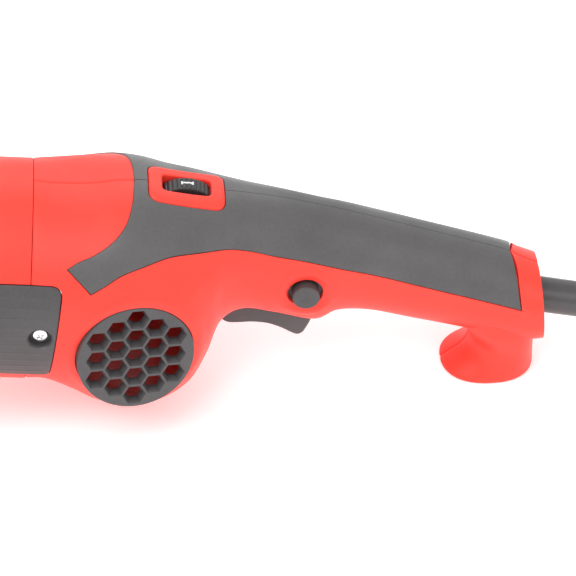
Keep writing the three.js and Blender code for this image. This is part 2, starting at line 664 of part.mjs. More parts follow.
function motorShaft() {
  const journal = 3.5;
  const end = REAR_SEAT + 9;
  return turn([
    [MODULE * CROWN_TEETH / 2 - 5, 0], [MODULE * CROWN_TEETH / 2 - 5, journal], [38, journal],
    [38, SHAFT_R], [end - 1, SHAFT_R], [end, SHAFT_R - 1], [end, 0],
  ], 20);
}

const armatureCore = () =>
  tube("x", 18.3, ARMATURE_R, ARMATURE_FRONT, ARMATURE_FRONT + ARMATURE_LENGTH, [0, 0], 24);

function armatureWinding() {
  const [x0, x1] = [ARMATURE_FRONT, ARMATURE_FRONT + ARMATURE_LENGTH];
  const bore = SHAFT_R + GAP;
  return turn([
    [x0 - 7, bore], [x0 - 7, 15], [x0 - 4, 20], [x0 - GAP, 20], [x0 - GAP, 18], [x1 + GAP, 18],
    [x1 + GAP, 20], [x1 + 4, 20], [x1 + 7, 15], [x1 + 7, bore], [x0 - 7, bore],
  ], 16);
}

function commutator() {
  const [x0, x1] = [BRUSH_X - 9, BRUSH_X + 7];
  const bore = SHAFT_R + GAP;
  return turn([[x0, bore], [x0, COMMUTATOR_R + 1.6], [x0 + 2.4, COMMUTATOR_R + 1.6],
    [x0 + 2.4, COMMUTATOR_R], [x1, COMMUTATOR_R], [x1, bore], [x0, bore]], 20);
}

function coolingFan() {
  const [x0, x1] = [BODY_FRONT + 7, BODY_FRONT + 18];
  const hub = tube("x", SHAFT_R + GAP, 10, x0, x1, [0, 0], 20);
  const back = tube("x", 9, FAN_R, x1 - 2, x1, [0, 0], 22);
  const blades = Array.from({ length: 11 }, (_, k) =>
    box(x0 + 1, x1 - 1, -0.9, 0.9, 9, FAN_R - 0.5).rotateX((k / 11) * 2 * Math.PI));
  return join(hub, back, ...blades);
}

const leftBrush = () =>
  box(BRUSH_X - 3, BRUSH_X + 3, -BODY_R + 15.5, -COMMUTATOR_R - 0.4, -5, 5);

function leftBrushHolder() {
  const outer = box(BRUSH_X - 6, BRUSH_X + 6, -BODY_R + BODY_WALL + 1, -COMMUTATOR_R - 3.5, -8, 8);
  return cut(outer, box(BRUSH_X - 3.3, BRUSH_X + 3.3, -BODY_R + 12.5, 0, -5.3, 5.3));
}

// ---------- gears ----------
// One bevel tooth: a trapezoid at the gear's outer end that shrinks towards the cones' meeting point.
// The corners are given at full size by place(across, height).
function bevelTooth(place, pitchHalf, addendum, dedendum, slope) {
  const corners = [
    [-pitchHalf - dedendum * slope, -dedendum], [pitchHalf + dedendum * slope, -dedendum],
    [pitchHalf - addendum * slope, addendum], [-pitchHalf + addendum * slope, addendum],
  ].map(([across, height]) => place(across, height));
  return skin([corners, corners.map((p) => p.map((v) => v * (1 - TOOTH_LENGTH)))]);
}

const PINION_R = (MODULE * PINION_TEETH) / 2;
const CROWN_R = (MODULE * CROWN_TEETH) / 2;
const TOOTH_HALF = (Math.PI * MODULE) / 4 - BACKLASH / 2;
const ADDENDUM = 0.68 * MODULE;
const DEDENDUM = 1.15 * MODULE;
const FLANK = Math.tan(rad(22));

function bevelPinion() {
  const root = PINION_R - DEDENDUM + 0.25;
  const small = CROWN_R * (1 - TOOTH_LENGTH);
  const cone = turn([
    [small, 0], [small, root * (1 - TOOTH_LENGTH)], [CROWN_R, root], [CROWN_R + 0.4, PINION_R - 1],
    [CROWN_R + 3, PINION_R - 1], [CROWN_R + 3, 0],
  ], 24);
  const tooth = () => bevelTooth((across, height) => [CROWN_R, across, PINION_R + height],
    TOOTH_HALF, ADDENDUM, DEDENDUM, FLANK);
  const teeth = Array.from({ length: PINION_TEETH }, (_, k) =>
    tooth().rotateX(((k + 0.5) / PINION_TEETH) * 2 * Math.PI + Math.PI));
  return cut(join(cone, ...teeth), rod("x", 3.8, CROWN_R - 5.4, 60, [0, 0], 16));
}

function crownGear() {
  const [outer, inner] = [CROWN_R, CROWN_R * (1 - TOOTH_LENGTH)];
  const rootAt = (r) => (-(PINION_R + DEDENDUM - 0.25) * r) / CROWN_R;
  const back = -18.2;
  const bore = SPINDLE_R + GAP;
  const blank = turn([
    [back, bore], [back, outer - 2], [back + 2, outer], [rootAt(outer), outer], [rootAt(inner), inner],
    [-11, inner - 0.5], [-11, bore], [back, bore],
  ], CROWN_TEETH, "z");
  const teeth = Array.from({ length: CROWN_TEETH }, (_, k) =>
    bevelTooth((across, height) => [CROWN_R, across, -PINION_R + height],
      TOOTH_HALF, ADDENDUM, DEDENDUM, FLANK).rotateZ((k / CROWN_TEETH) * 2 * Math.PI));
  const lockHoles = [0, 1, 2, 3].map((k) =>
    rod("z", LOCK_PIN_R + 0.7, -16, -8, [LOCK_AT * Math.cos((k * Math.PI) / 2),
      LOCK_AT * Math.sin((k * Math.PI) / 2)], 10));
  return cut(join(blank, ...teeth), ...lockHoles);
}

// ---------- spindle, pad and loop handle ----------
function spindle() {
  const [collar, low] = [HEAD_BOTTOM - 10.8, HUB_END + 1];
  return turn([
    [low, 0], [low, 6.8], [collar - 2.7, 6.8], [collar - 2.7, 9.4], [collar, 9.4],
    [collar, SPINDLE_R], [-7, SPINDLE_R], [-7, 5], [15.5, 5], [15.5, 0],
  ], 18, "z");
}

function backingPlate() {
  const top = HEAD_BOTTOM - 14;
  return turn([
    [PAD_TOP + GAP, 0], [PAD_TOP + GAP, PLATE_R], [PAD_TOP + 2.2, PLATE_R], [PAD_TOP + 3.2, 38],
    [PAD_TOP + 8, 30], [top - 5, 20], [top, 17], [top, 7.2], [HUB_END, 7.2], [HUB_END, 0],
  ], 32, "z");
}

function polishingPad() {
  const round = [0, REST_TILT, 30, 60, 90].map((angle) => [
    PAD_BOTTOM + PAD_ROUND * (1 - Math.cos(rad(angle))),
    PAD_R - PAD_ROUND * (1 - Math.sin(rad(angle))),
  ]);
  return turn([[PAD_BOTTOM, 0], ...round, [PAD_TOP - 2, PAD_R - 1], [PAD_TOP, PAD_R - 4], [PAD_TOP, 0]],
    36, "z");
}

function spindleLock() {
  const [from, top] = [HEAD_TOP - 0.2, HEAD_TOP + 6];
  return turn([[-8.4, 0], [-8.4, LOCK_PIN_R], [from, LOCK_PIN_R], [from, 7], [top - 1, 7], [top, 6],
    [top, 0]], 16, "z").translate(-LOCK_AT, 0, 0);
}

function bearing(axis, bore, outer, from, to) {
  return tube(axis, bore, outer, from, to, [0, 0], 16);
}

// The loop's centre line: up from one side bolt, across in front and down to the other.
function loopHandle() {
  const up = [-Math.sin(rad(LOOP_LEAN)), Math.cos(rad(LOOP_LEAN))];
  const point = (y, reach) => new THREE.Vector3(up[0] * reach, y, LOOP_Z + up[1] * reach);
  const [w, h] = [LOOP_HALF_WIDTH, LOOP_REACH];
  const leg = (s) => [point(s * (w - 13), 0), point(s * (w - 12), 12), point(s * (w - 2), 30),
    point(s * w, h - 22), point(s * (w - 5), h - 6), point(s * (w - 16), h), point(s * (w - 20), h)];
  const path = new THREE.CatmullRomCurve3([...leg(-1), ...leg(1).reverse()], false, "centripetal");
  const shape = new THREE.Shape();
  shape.absarc(0, 0, LOOP_BAR_R, 0, 2 * Math.PI, false);
  const loop = new THREE.ExtrudeGeometry(shape,
    { steps: 24, curveSegments: 4, extrudePath: path, bevelEnabled: false });
  const [inner, outer] = [LUG_INNER, LUG_INNER + LUG_THICK];
  const onLeft = (r, from, to, sides) => rod("y", r, -to, -from, [0, LOOP_Z], sides);
  const lug = onLeft(LUG_R, inner, outer, 20);
  const hole = onLeft(4.3, inner - 9, inner + 25, 14);
  const faces = join(onLeft(LUG_R + 1, outer, inner + 30, 20), onLeft(LUG_R + 2, inner - 20, inner, 20));
  return cut(join(loop, lug, mirrored(lug)), hole, mirrored(hole), faces, mirrored(faces));
}

function loopGrip() {
  const [a, r] = [LOOP_HALF_WIDTH - 21, LOOP_BAR_R + 0.5];
  const lean = rad(LOOP_LEAN);
  const grip = turn([[-a, r], [-a, 15], [-a + 4, 16.5], [-a / 2, 15], [0, 16], [a / 2, 15],
    [a - 4, 16.5], [a, 15], [a, r], [-a, r]], 20, "y");
  return grip.translate(-Math.sin(lean) * LOOP_REACH, 0, LOOP_Z + Math.cos(lean) * LOOP_REACH);
}

function leftLoopBolt() {
  const face = LUG_INNER + LUG_THICK + GAP;
  return turn([[-face - 11, 0], [-face - 11, 9], [-face - 9, 10.5], [-face, 10.5], [-face, 3.7],
    [-face + 16, 3.7], [-face + 16, 0]], 16, "y").translate(0, 0, LOOP_Z);
}

// ---------- assembly ----------
const machine = new THREE.Group();
const add = (name, geometry, material) => machine.add(piece(name, geometry, material));
const addPair = (name, geometry, finishOf) => {
  add(name + "_left", geometry, finishOf());
  add(name + "_right", mirrored(geometry), finishOf());
};

add("motor_housing", motorHousing(), redPlastic());
add("handle_shell_left", leftShell(), redPlastic());
add("handle_shell_right", rightShell(), redPlastic());
addPair("grip_cover", leftGrip(), softGrip);
addPair("brush_cover", brushCover(), darkPlastic);
addPair("brush_cover_screw", coverScrew(), steel);
addPair("vent_grille", ventGrille(), darkPlastic);
SCREWS.forEach(([x, z], k) => {
  const screw = turn([[-9, 0], [-9, 1.8], [11.2, 1.8], [11.2, 3.6], [13.6, 3], [13.6, 0]], 12, "y");
  add("handle_screw_" + (k + 1), screw.translate(x, 0, z), steel());
});

add("trigger", trigger(), blackPlastic());
add("trigger_pin", rod("y", 1.6, -13, 13, TRIGGER_PIVOT, 10), steel());
add("lock_button", lockButton(), blackPlastic());
add("speed_dial", speedDial(), blackPlastic());
add("speed_board", speedBoard(), finish(0x2f6a45, 0.6));
add("switch_body", switchBody(), blackPlastic());
add("cord_guard", cordGuard(), blackPlastic());
add("cord_clamp", cordClamp(), blackPlastic());

add("stator_core", statorCore(), steel());
add("field_coil_upper", fieldCoil(90), copper());
add("field_coil_lower", fieldCoil(270), copper());
addPair("brush_holder", leftBrushHolder(), () => finish(0xb08d4a, 0.4, 0.8));
addPair("carbon_brush", leftBrush(), carbon);
add("motor_shaft", motorShaft(), steel());
add("armature_core", armatureCore(), steel());
add("armature_winding", armatureWinding(), copper());
add("commutator", commutator(), copper());
add("cooling_fan", coolingFan(), blackPlastic());
add("bevel_pinion", bevelPinion(), steel());
add("motor_bearing_front", bearing("x", SHAFT_R + GAP, 16, 38.6, 45.6), steel());
add("motor_bearing_rear", bearing("x", SHAFT_R + GAP, 13.1, REAR_SEAT + 0.4, REAR_SEAT + 7.6), steel());

add("gear_housing", gearHousing(), castAluminium());
screwCircle().forEach((place, k) => {
  const head = [[BODY_FRONT - 13.2, 0], [BODY_FRONT - 13.2, 3.8], [BODY_FRONT - 9.3, 3.8],
    [BODY_FRONT - 9.3, 1.9], [BODY_FRONT + 14, 1.9], [BODY_FRONT + 14, 0]];
  add("gear_head_screw_" + (k + 1), shift(turn(head, 12), "x", place), steel());
});
add("bearing_cover", bearingCover(), castAluminium());
add("spindle_bearing_upper", bearing("z", 5.3, 9, 10.4, 16.6), steel());
add("spindle_bearing_lower",
  bearing("z", SPINDLE_R + GAP, 17.5, HEAD_BOTTOM - 6.6, HEAD_BOTTOM + 4.2), steel());
add("crown_gear", crownGear(), steel());
add("spindle", spindle(), steel());
add("spindle_lock", spindleLock(), blackPlastic());
add("backing_plate", backingPlate(), blackPlastic());
add("polishing_pad", polishingPad(), foam());
add("front_handle", loopHandle(), blackPlastic());
add("front_handle_grip", loopGrip(), softGrip());
addPair("front_handle_bolt", leftLoopBolt(), blackPlastic);

machine.rotation.y = rad(REST_TILT);
machine.updateMatrixWorld(true);
const bounds = new THREE.Box3().setFromObject(machine, true);
const middle = bounds.getCenter(new THREE.Vector3());
machine.position.set(-middle.x, -middle.y, -bounds.min.z);
machine.updateMatrixWorld(true);

// ---------- cord, on the table ----------
const COIL_OUTER = COIL_R + COIL_COLUMNS * CORD_R + GAP;
const COIL_INNER = COIL_R - COIL_COLUMNS * CORD_R - GAP;
const COIL_TOP = 2 * CORD_R * COIL_LAYERS + GAP;
const OUTER_TURN = COIL_R + (COIL_COLUMNS - 1) * CORD_R;

function cordTube(points) {
  const path = new THREE.CatmullRomCurve3(points.map((p) => new THREE.Vector3(...p)), false, "centripetal");
  const shape = new THREE.Shape();
  shape.absarc(0, 0, CORD_R, 0, 2 * Math.PI, false);
  const steps = Math.ceil(path.getLength() / (4 * CORD_R));
  return new THREE.ExtrudeGeometry(shape, { steps, curveSegments: 5, extrudePath: path });
}

const aim = new THREE.Vector3(1, 0, 0).applyAxisAngle(new THREE.Vector3(0, 1, 0), rad(GUARD_DROOP));
const tip = new THREE.Vector3(GUARD_AT[0], 0, GUARD_AT[1]).addScaledVector(aim, GUARD_LENGTH + GAP);
const beyondTip = (d) => tip.clone().addScaledVector(aim, d).applyMatrix4(machine.matrixWorld).toArray();
const [TIP_X] = beyondTip(0);
const LEAD_Y = -1.5; // the coil's outer turn passes the machine's middle plane this far off
const COIL_AT = [TIP_X + COIL_BEHIND, LEAD_Y + OUTER_TURN];
const PLUG_AT = [TIP_X + PLUG_BEHIND, COIL_AT[1] + OUTER_TURN, PLUG_LIFT];

// Straight out of the guard, down to the table and along it to the coil's outer turn.
function leadRoute() {
  const laid = CORD_R + 0.1;
  return [beyondTip(0), beyondTip(6), beyondTip(12), [TIP_X + 26, -0.4, 9.6], [TIP_X + 37, -0.8, 6],
    [TIP_X + 47, LEAD_Y, laid + 0.55], [TIP_X + 56, LEAD_Y, laid], [TIP_X + 65.8, LEAD_Y, laid]];
}

// Off the coil's top turn and down into the plug.
function tailRoute() {
  const [x, y, z] = PLUG_AT;
  const high = COIL_TOP - CORD_R - GAP;
  return [[x + 21.8, y, high], [x + 16, y, high - 0.9], [x + 10, y, z + 2.4], [x + 5, y, z + 0.3],
    [x + GAP, y, z]];
}

function cordCoil() {
  const [x, y] = COIL_AT;
  return tube("z", COIL_INNER, COIL_OUTER, 0, COIL_TOP, [0, 0], 32).translate(x, y, 0);
}

function powerPlug() {
  const end = -PLUG_LENGTH;
  const body = turn([[end, 0], [end, PLUG_R], [end + 16, PLUG_R], [end + 24, 8.5],
    [0, 5], [0, 0]], 18);
  const pins = [-9.5, 9.5].map((y) => rod("x", 2.4, end - PLUG_PIN_LENGTH, end + 2, [y, 0], 8));
  return join(body, ...pins).translate(...PLUG_AT);
}

const cord = new THREE.Group();
cord.add(piece("power_cord", cordTube(leadRoute()), blackPlastic()));
cord.add(piece("cord_coil", cordCoil(), blackPlastic()));
cord.add(piece("cord_tail", cordTube(tailRoute()), blackPlastic()));
cord.add(piece("power_plug", powerPlug(), blackPlastic()));

const group = new THREE.Group();
group.add(machine, cord);
export default group;
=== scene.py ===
# %% [markdown]
# # Rotary polisher
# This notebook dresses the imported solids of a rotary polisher: a machine with a round motor
# housing, a long rear handle with a soft grip, and a foam pad under a cast gear head. The solids
# stay the measure of everything. Each step works out one piece as a surface with numpy, in
# millimetres in the machine's own frame (motor along x, spindle along z, left side at minus y),
# and then turns it onto the table.

# %% Frame
import bpy
import bmesh
import json
import math
import numpy as np
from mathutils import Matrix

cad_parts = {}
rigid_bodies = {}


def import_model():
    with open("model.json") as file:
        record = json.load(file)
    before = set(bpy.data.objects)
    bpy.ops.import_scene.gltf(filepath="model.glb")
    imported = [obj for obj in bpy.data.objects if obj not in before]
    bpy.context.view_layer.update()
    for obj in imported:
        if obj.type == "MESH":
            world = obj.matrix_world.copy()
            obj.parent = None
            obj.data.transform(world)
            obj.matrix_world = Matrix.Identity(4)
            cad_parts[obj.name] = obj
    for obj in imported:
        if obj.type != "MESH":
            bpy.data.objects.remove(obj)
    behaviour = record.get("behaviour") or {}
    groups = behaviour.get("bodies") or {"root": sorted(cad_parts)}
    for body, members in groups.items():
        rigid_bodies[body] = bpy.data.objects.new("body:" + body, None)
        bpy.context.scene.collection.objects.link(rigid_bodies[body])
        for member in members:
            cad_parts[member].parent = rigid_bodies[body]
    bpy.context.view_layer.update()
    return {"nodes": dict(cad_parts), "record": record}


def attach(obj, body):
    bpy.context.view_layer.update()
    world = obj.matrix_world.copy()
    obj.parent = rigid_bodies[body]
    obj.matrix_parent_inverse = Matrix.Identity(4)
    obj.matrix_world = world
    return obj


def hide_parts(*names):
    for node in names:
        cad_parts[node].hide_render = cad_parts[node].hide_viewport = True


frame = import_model()

# %% [markdown]
# The machine lies tilted on the table, on its pad's edge and its foot. The joints say how: the
# spindle's joint gives the machine's origin and its z, and the armature's joint gives its x.

# %% From the machine's frame to the table
JOINTS = {joint["name"]: joint for joint in frame["record"]["behaviour"]["joints"]}
ORIGIN = np.array(JOINTS["spindle_spin"]["pos_m"])
AXIS_X = np.array(JOINTS["armature_spin"]["axis"])
AXIS_Z = np.array(JOINTS["spindle_spin"]["axis"])
AXIS_Y = np.cross(AXIS_Z, AXIS_X)
MM = 0.001


def on_table(points):
    """Millimetres in the machine's frame to metres on the table: origin plus x, y and z times their axes."""
    return ORIGIN + np.asarray(points, float) @ np.array([AXIS_X, AXIS_Y, AXIS_Z]) * MM


print("machine origin on the table:", ORIGIN)

# %% [markdown]
# The camera looks down at the rear handle from the left with a long lens, so that the shapes keep
# their proportions. It comes before the pieces because the cord's coil has to stay out of its view.

# %% Camera
ELEVATION, AZIMUTH = math.radians(40), math.radians(-4)
TARGET = np.array([0.10005, -0.01393, 0.05837])
DISTANCE = 1.144
FOCAL_LENGTH = 162.5
away = np.array([math.sin(AZIMUTH) * math.cos(ELEVATION), -math.cos(AZIMUTH) * math.cos(ELEVATION),
                 math.sin(ELEVATION)])
lens = bpy.data.cameras.new("camera")
lens.lens, lens.sensor_width = FOCAL_LENGTH, 36
camera = bpy.data.objects.new("camera", lens)
camera.location = TARGET + away * DISTANCE
camera.rotation_euler = (math.pi / 2 - ELEVATION, 0, AZIMUTH)
bpy.context.collection.objects.link(camera)
bpy.context.scene.camera = camera
print("camera at", np.round(camera.location, 3))

# %% [markdown]
# Every piece here is a grid of points: rows along it and columns across or around it. One helper
# turns a grid into a closed mesh. It closes each end with a fan around the row's middle, and turns
# all faces over if the volume they enclose comes out negative.

# %% Grids to meshes


def grid_faces(rows, columns, around=True):
    """Quads between neighbouring rows and columns; around joins the last column to the first."""
    last = columns if around else columns - 1
    i, j = np.meshgrid(np.arange(rows - 1), np.arange(last), indexing="ij")
    k = (j + 1) % columns
    return np.stack([i * columns + j, i * columns + k, (i + 1) * columns + k, (i + 1) * columns + j],
                    -1).reshape(-1, 4)


def mesh_object(name, verts, faces, smooth=40):
    """A new object from points on the table, shaded smooth except over edges sharper than the angle."""
    mesh = bpy.data.meshes.new(name)
    mesh.from_pydata(np.asarray(verts).tolist(), [], [list(map(int, f)) for f in faces])
    piece = bpy.data.objects.new(name, mesh)
    bpy.context.collection.objects.link(piece)
    if smooth:
        soften(piece, smooth)
    return piece


def soften(piece, smooth=40):
    """Smooth shading, with edges sharper than the angle in degrees kept crisp."""
    form = bmesh.new()
    form.from_mesh(piece.data)
    for face in form.faces:
        face.smooth = True
    for edge in form.edges:
        edge.smooth = edge.calc_face_angle(math.pi) < math.radians(smooth)
    form.to_mesh(piece.data)
    form.free()


def enclosed(verts, triangles):
    """Signed volume inside triangles: the sum of a . (b x c) / 6."""
    a, b, c = (verts[triangles[:, k]] for k in range(3))
    return float((a * np.cross(b, c)).sum() / 6)


def closed_grid(grid, loop=False):
    """Points and faces of a grid that closes on itself around, with a fan at each end, or with its
    last row joined to its first where it is a loop."""
    rows, columns = grid.shape[:2]
    if loop:
        verts = grid.reshape(-1, 3)
        quads = grid_faces(rows + 1, columns) % (rows * columns)
        triangles = np.concatenate([quads[:, [0, 1, 2]], quads[:, [0, 2, 3]]])
        return verts, list(quads if enclosed(verts, triangles) > 0 else quads[:, ::-1])
    verts = np.concatenate([grid.reshape(-1, 3), grid[0].mean(0)[None], grid[-1].mean(0)[None]])
    quads = grid_faces(rows, columns)
    j = np.arange(columns)
    k = (j + 1) % columns
    hub = rows * columns
    fans = np.concatenate([np.stack([np.full(columns, hub), k, j], -1),
                           np.stack([np.full(columns, hub + 1), hub - columns + j,
                                     hub - columns + k], -1)])
    triangles = np.concatenate([quads[:, [0, 1, 2]], quads[:, [0, 2, 3]], fans])
    if enclosed(verts, triangles) < 0:
        quads, fans = quads[:, ::-1], fans[:, ::-1]
    return verts, list(quads) + list(fans)


def form(name, grid, smooth=40, mirror=False, loop=False):
    """A closed piece from a grid in machine millimetres; mirror gives its right-hand twin."""
    points = np.array(grid, float)
    if mirror:
        points[..., 1] *= -1
    verts, faces = closed_grid(on_table(points), loop)
    return mesh_object(name, verts, faces, smooth)


def several(name, grids, smooth=40, placed=on_table):
    """One piece from several closed grids that don't touch; placed turns a grid's points into
    metres on the table."""
    verts, faces, start = [], [], 0
    for grid in grids:
        v, f = closed_grid(placed(grid))
        verts.append(v)
        faces += [np.asarray(face) + start for face in f]
        start += len(v)
    return mesh_object(name, np.concatenate(verts), faces, smooth)


def stand_in(piece, body, node):
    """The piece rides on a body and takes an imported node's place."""
    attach(piece, body)
    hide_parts(node)


def lathe(profile, axis="x", at=(0, 0, 0), sides=96, wave=None):
    """A profile of (along, radius) pairs turned about an axis through at. wave(angle, along) adds
    to the radius."""
    along, radius = np.array(profile, float).T
    angle = np.arange(sides) / sides * 2 * np.pi
    r = np.maximum(radius, 1e-4)[:, None] + (wave(angle[None], along[:, None]) if wave else 0 * angle)
    a, c, s = np.broadcast_to(along[:, None], r.shape), r * np.cos(angle), r * np.sin(angle)
    order = {"x": (a, c, s), "y": (c, a, s), "z": (c, s, a)}[axis]
    return np.stack(order, -1) + np.array(at, float)


def rounded(points, radius, steps=5, closed=False):
    """A polyline of 2-D points with each corner turned into a short arc: radius is one value, or
    one for each point. A corner is a quadratic curve from one side to the other."""
    p = np.array(points, float)
    n = len(p)
    radius = np.broadcast_to(radius, n)
    out = []
    for i in range(n):
        if not closed and i in (0, n - 1) or radius[i] == 0:
            out.append(p[i][None])
            continue
        a, b, c = p[i - 1], p[i], p[(i + 1) % n]
        la, lc = np.linalg.norm(a - b), np.linalg.norm(c - b)
        r = min(radius[i], la * 0.49, lc * 0.49)
        u, v = b + (a - b) / la * r, b + (c - b) / lc * r
        t = np.linspace(0, 1, steps)[:, None]
        out.append((1 - t) ** 2 * u + 2 * t * (1 - t) * b + t ** 2 * v)
    return np.concatenate(out)


def prism(outline, y0, y1, edge=0.0, steps=4):
    """A closed outline of (x, z) points carried along y, with its rim rounded by edge."""
    p = np.array(outline, float)
    ahead, behind = np.roll(p, -1, 0), np.roll(p, 1, 0)
    way = ahead - behind
    normal = np.stack([way[:, 1], -way[:, 0]], -1) / np.linalg.norm(way, axis=1)[:, None]
    area = (p[:, 0] * ahead[:, 1] - p[:, 1] * ahead[:, 0]).sum()
    normal *= np.sign(area)
    q = np.linspace(0, np.pi / 2, steps) if edge else np.zeros(1)
    inset = edge * (1 - np.sin(q))
    rise = edge * (1 - np.cos(q))
    y = np.concatenate([y0 + rise, (y1 - rise)[::-1]])
    inset = np.concatenate([inset, inset[::-1]])
    rings = [np.stack([(p - normal * d)[:, 0], np.full(len(p), yy), (p - normal * d)[:, 1]], -1)
             for d, yy in zip(inset, y)]
    return np.array(rings)


def smooth_path(points, count):
    """A smooth line through points, by cubic Hermite pieces with Catmull-Rom slopes over the
    distance between points, given again at count even distances."""
    p = np.array(points, float)
    d = np.concatenate([[0], np.cumsum(np.linalg.norm(np.diff(p, axis=0), axis=1))])
    slope = np.gradient(p, d, axis=0)
    fine = np.linspace(0, d[-1], count * 8)
    i = np.clip(np.searchsorted(d, fine, "right") - 1, 0, len(d) - 2)
    h = (d[i + 1] - d[i])[:, None]
    t = (fine - d[i])[:, None] / h
    q = ((2 * t ** 3 - 3 * t ** 2 + 1) * p[i] + (t ** 3 - 2 * t ** 2 + t) * h * slope[i]
         + (3 * t ** 2 - 2 * t ** 3) * p[i + 1] + (t ** 3 - t ** 2) * h * slope[i + 1])
    run = np.concatenate([[0], np.cumsum(np.linalg.norm(np.diff(q, axis=0), axis=1))])
    even = np.linspace(0, run[-1], count)
    return np.stack([np.interp(even, run, q[:, k]) for k in range(p.shape[1])], -1)


def bar(path, radius, sides=40, side=(0, 1, 0)):
    """A round bar: circles of a radius, one value or one for each point, square to a path whose
    bends stay near one plane; side is a direction that the path never follows."""
    p = np.array(path, float)
    way = np.gradient(p, axis=0)
    way /= np.linalg.norm(way, axis=1)[:, None]
    u = np.cross(way, side)
    u /= np.linalg.norm(u, axis=1)[:, None]
    v = np.cross(way, u)
    angle = np.arange(sides) / sides * 2 * np.pi
    r = np.broadcast_to(radius, len(p))[:, None, None]
    return p[:, None] + r * (np.cos(angle)[None, :, None] * u[:, None]
                             + np.sin(angle)[None, :, None] * v[:, None])


def carve(piece, tools, how="DIFFERENCE", smooth=None):
    """Cuts tools out of a piece, or joins them to it, and removes the tools. The last cut of a
    piece gives the smoothing angle."""
    for tool in tools:
        step = piece.modifiers.new("carve", "BOOLEAN")
        step.operation, step.object, step.solver = how, tool, "MANIFOLD"
    bpy.context.view_layer.update()
    result = bpy.data.meshes.new_from_object(
        piece.evaluated_get(bpy.context.evaluated_depsgraph_get()))
    piece.modifiers.clear()
    old, piece.data = piece.data, result
    bpy.data.meshes.remove(old)
    for tool in tools:
        bpy.data.objects.remove(tool)
    if smooth:
        soften(piece, smooth)
    return piece


# %% [markdown]
# The mains lead leaves the guard at the back, sinks to the table, and the length that isn't in use
# is wound into a round coil with the plug beside it. It is one curve, so its thickness and its
# length can be measured. The coil's turns follow a table of columns and layers: each change of
# column or layer takes a quarter turn, and lies where the turns under it leave room.

# %% Cord route
CORD_D = 7.5
COIL_R = 45.0
GUARD_TIP = (447.65, 0, -11.07)
GUARD_AIM = (0.99255, 0, -0.12187)
lead_start = on_table(GUARD_TIP) / MM
lead_aim = on_table(np.add(GUARD_TIP, GUARD_AIM)) / MM - lead_start
OUTER_TURN = COIL_R + CORD_D
LEAD_Y = -1.5
COIL_BEHIND, PLUG_BEHIND, PLUG_LIFT = 95.0, 44.0, 12.6  # from the guard's tip and the table
COIL_X, COIL_Y = lead_start[0] + COIL_BEHIND, LEAD_Y + OUTER_TURN
TURNS = [(0, 1, 0), (0.75, 1, 0), (1, 0, 0), (1.75, 0, 0), (2, -1, 0), (2.5, -1, 0), (2.75, -1, 1),
         (3.25, -1, 1), (3.5, 0, 1), (4.25, 0, 1), (4.5, 1, 1), (5, 1, 1), (5.25, 1, 2), (5.5, 1, 2),
         (5.75, 0, 2), (6.44, 0, 2)]


def coil_line(turns=TURNS, per_turn=48):
    """Points on the coil: at a share of a turn the angle is -90 degrees plus that share of 360, and
    radius and height ease from one row of the table to the next."""
    share, column, layer = np.array(turns, float).T
    t = np.linspace(share[0], share[-1], int(share[-1] * per_turn))
    i = np.clip(np.searchsorted(share, t, "right") - 1, 0, len(share) - 2)
    f = (t - share[i]) / (share[i + 1] - share[i])
    f = f * f * (3 - 2 * f)
    r = COIL_R + CORD_D * (column[i] + (column[i + 1] - column[i]) * f)
    z = CORD_D / 2 + 0.15 + CORD_D * (layer[i] + (layer[i + 1] - layer[i]) * f)
    angle = 2 * np.pi * t - np.pi / 2
    return np.stack([COIL_X + r * np.cos(angle), COIL_Y + r * np.sin(angle), z], -1)


coil = coil_line()
PLUG_AT = np.array([lead_start[0] + PLUG_BEHIND, COIL_Y + OUTER_TURN, PLUG_LIFT])
lead = [lead_start, lead_start + 6 * lead_aim, lead_start + 12 * lead_aim,
        (lead_start[0] + 26, -0.4, 9.6), (lead_start[0] + 37, -0.8, 6),
        (lead_start[0] + 47, LEAD_Y, 4.4), (lead_start[0] + 58, LEAD_Y, 3.9),
        (lead_start[0] + 74, LEAD_Y, 3.9)]
tail = [PLUG_AT + (33, -3.6, 6.3), PLUG_AT + (24, -1.4, 5.2), PLUG_AT + (14, -0.2, 2.4),
        PLUG_AT + (6, 0, 0.3), PLUG_AT + (-4, 0, 0)]
route = np.concatenate([np.array(lead), coil[2:], np.array(tail)])
route = smooth_path(route, 620)

# %% Cord as a curve
line = bpy.data.curves.new("mains_lead", "CURVE")
line.dimensions, line.bevel_depth, line.bevel_resolution, line.use_fill_caps = \
    "3D", 1.0, 5, True
spline = line.splines.new("POLY")
spline.points.add(len(route) - 1)
spline.points.foreach_set("co", np.column_stack([route * MM, np.ones(len(route))]).ravel())
spline.points.foreach_set("radius", np.full(len(route), CORD_D / 2 * MM))
spline.use_smooth = True
mains_lead = bpy.data.objects.new("mains_lead", line)
bpy.context.collection.objects.link(mains_lead)
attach(mains_lead, "housing")
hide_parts("power_cord", "cord_coil", "cord_tail")

# %% [markdown]
# A moulded plug: a soft body that swells from the cord's collar to a flat face, with grip ribs, and
# two round pins. Both come from lathed profiles; the body is flattened a little.

# %% Plug
PLUG_LENGTH, PLUG_R, PLUG_PIN, PIN_APART = 38.0, 12.0, 19.0, 19.0


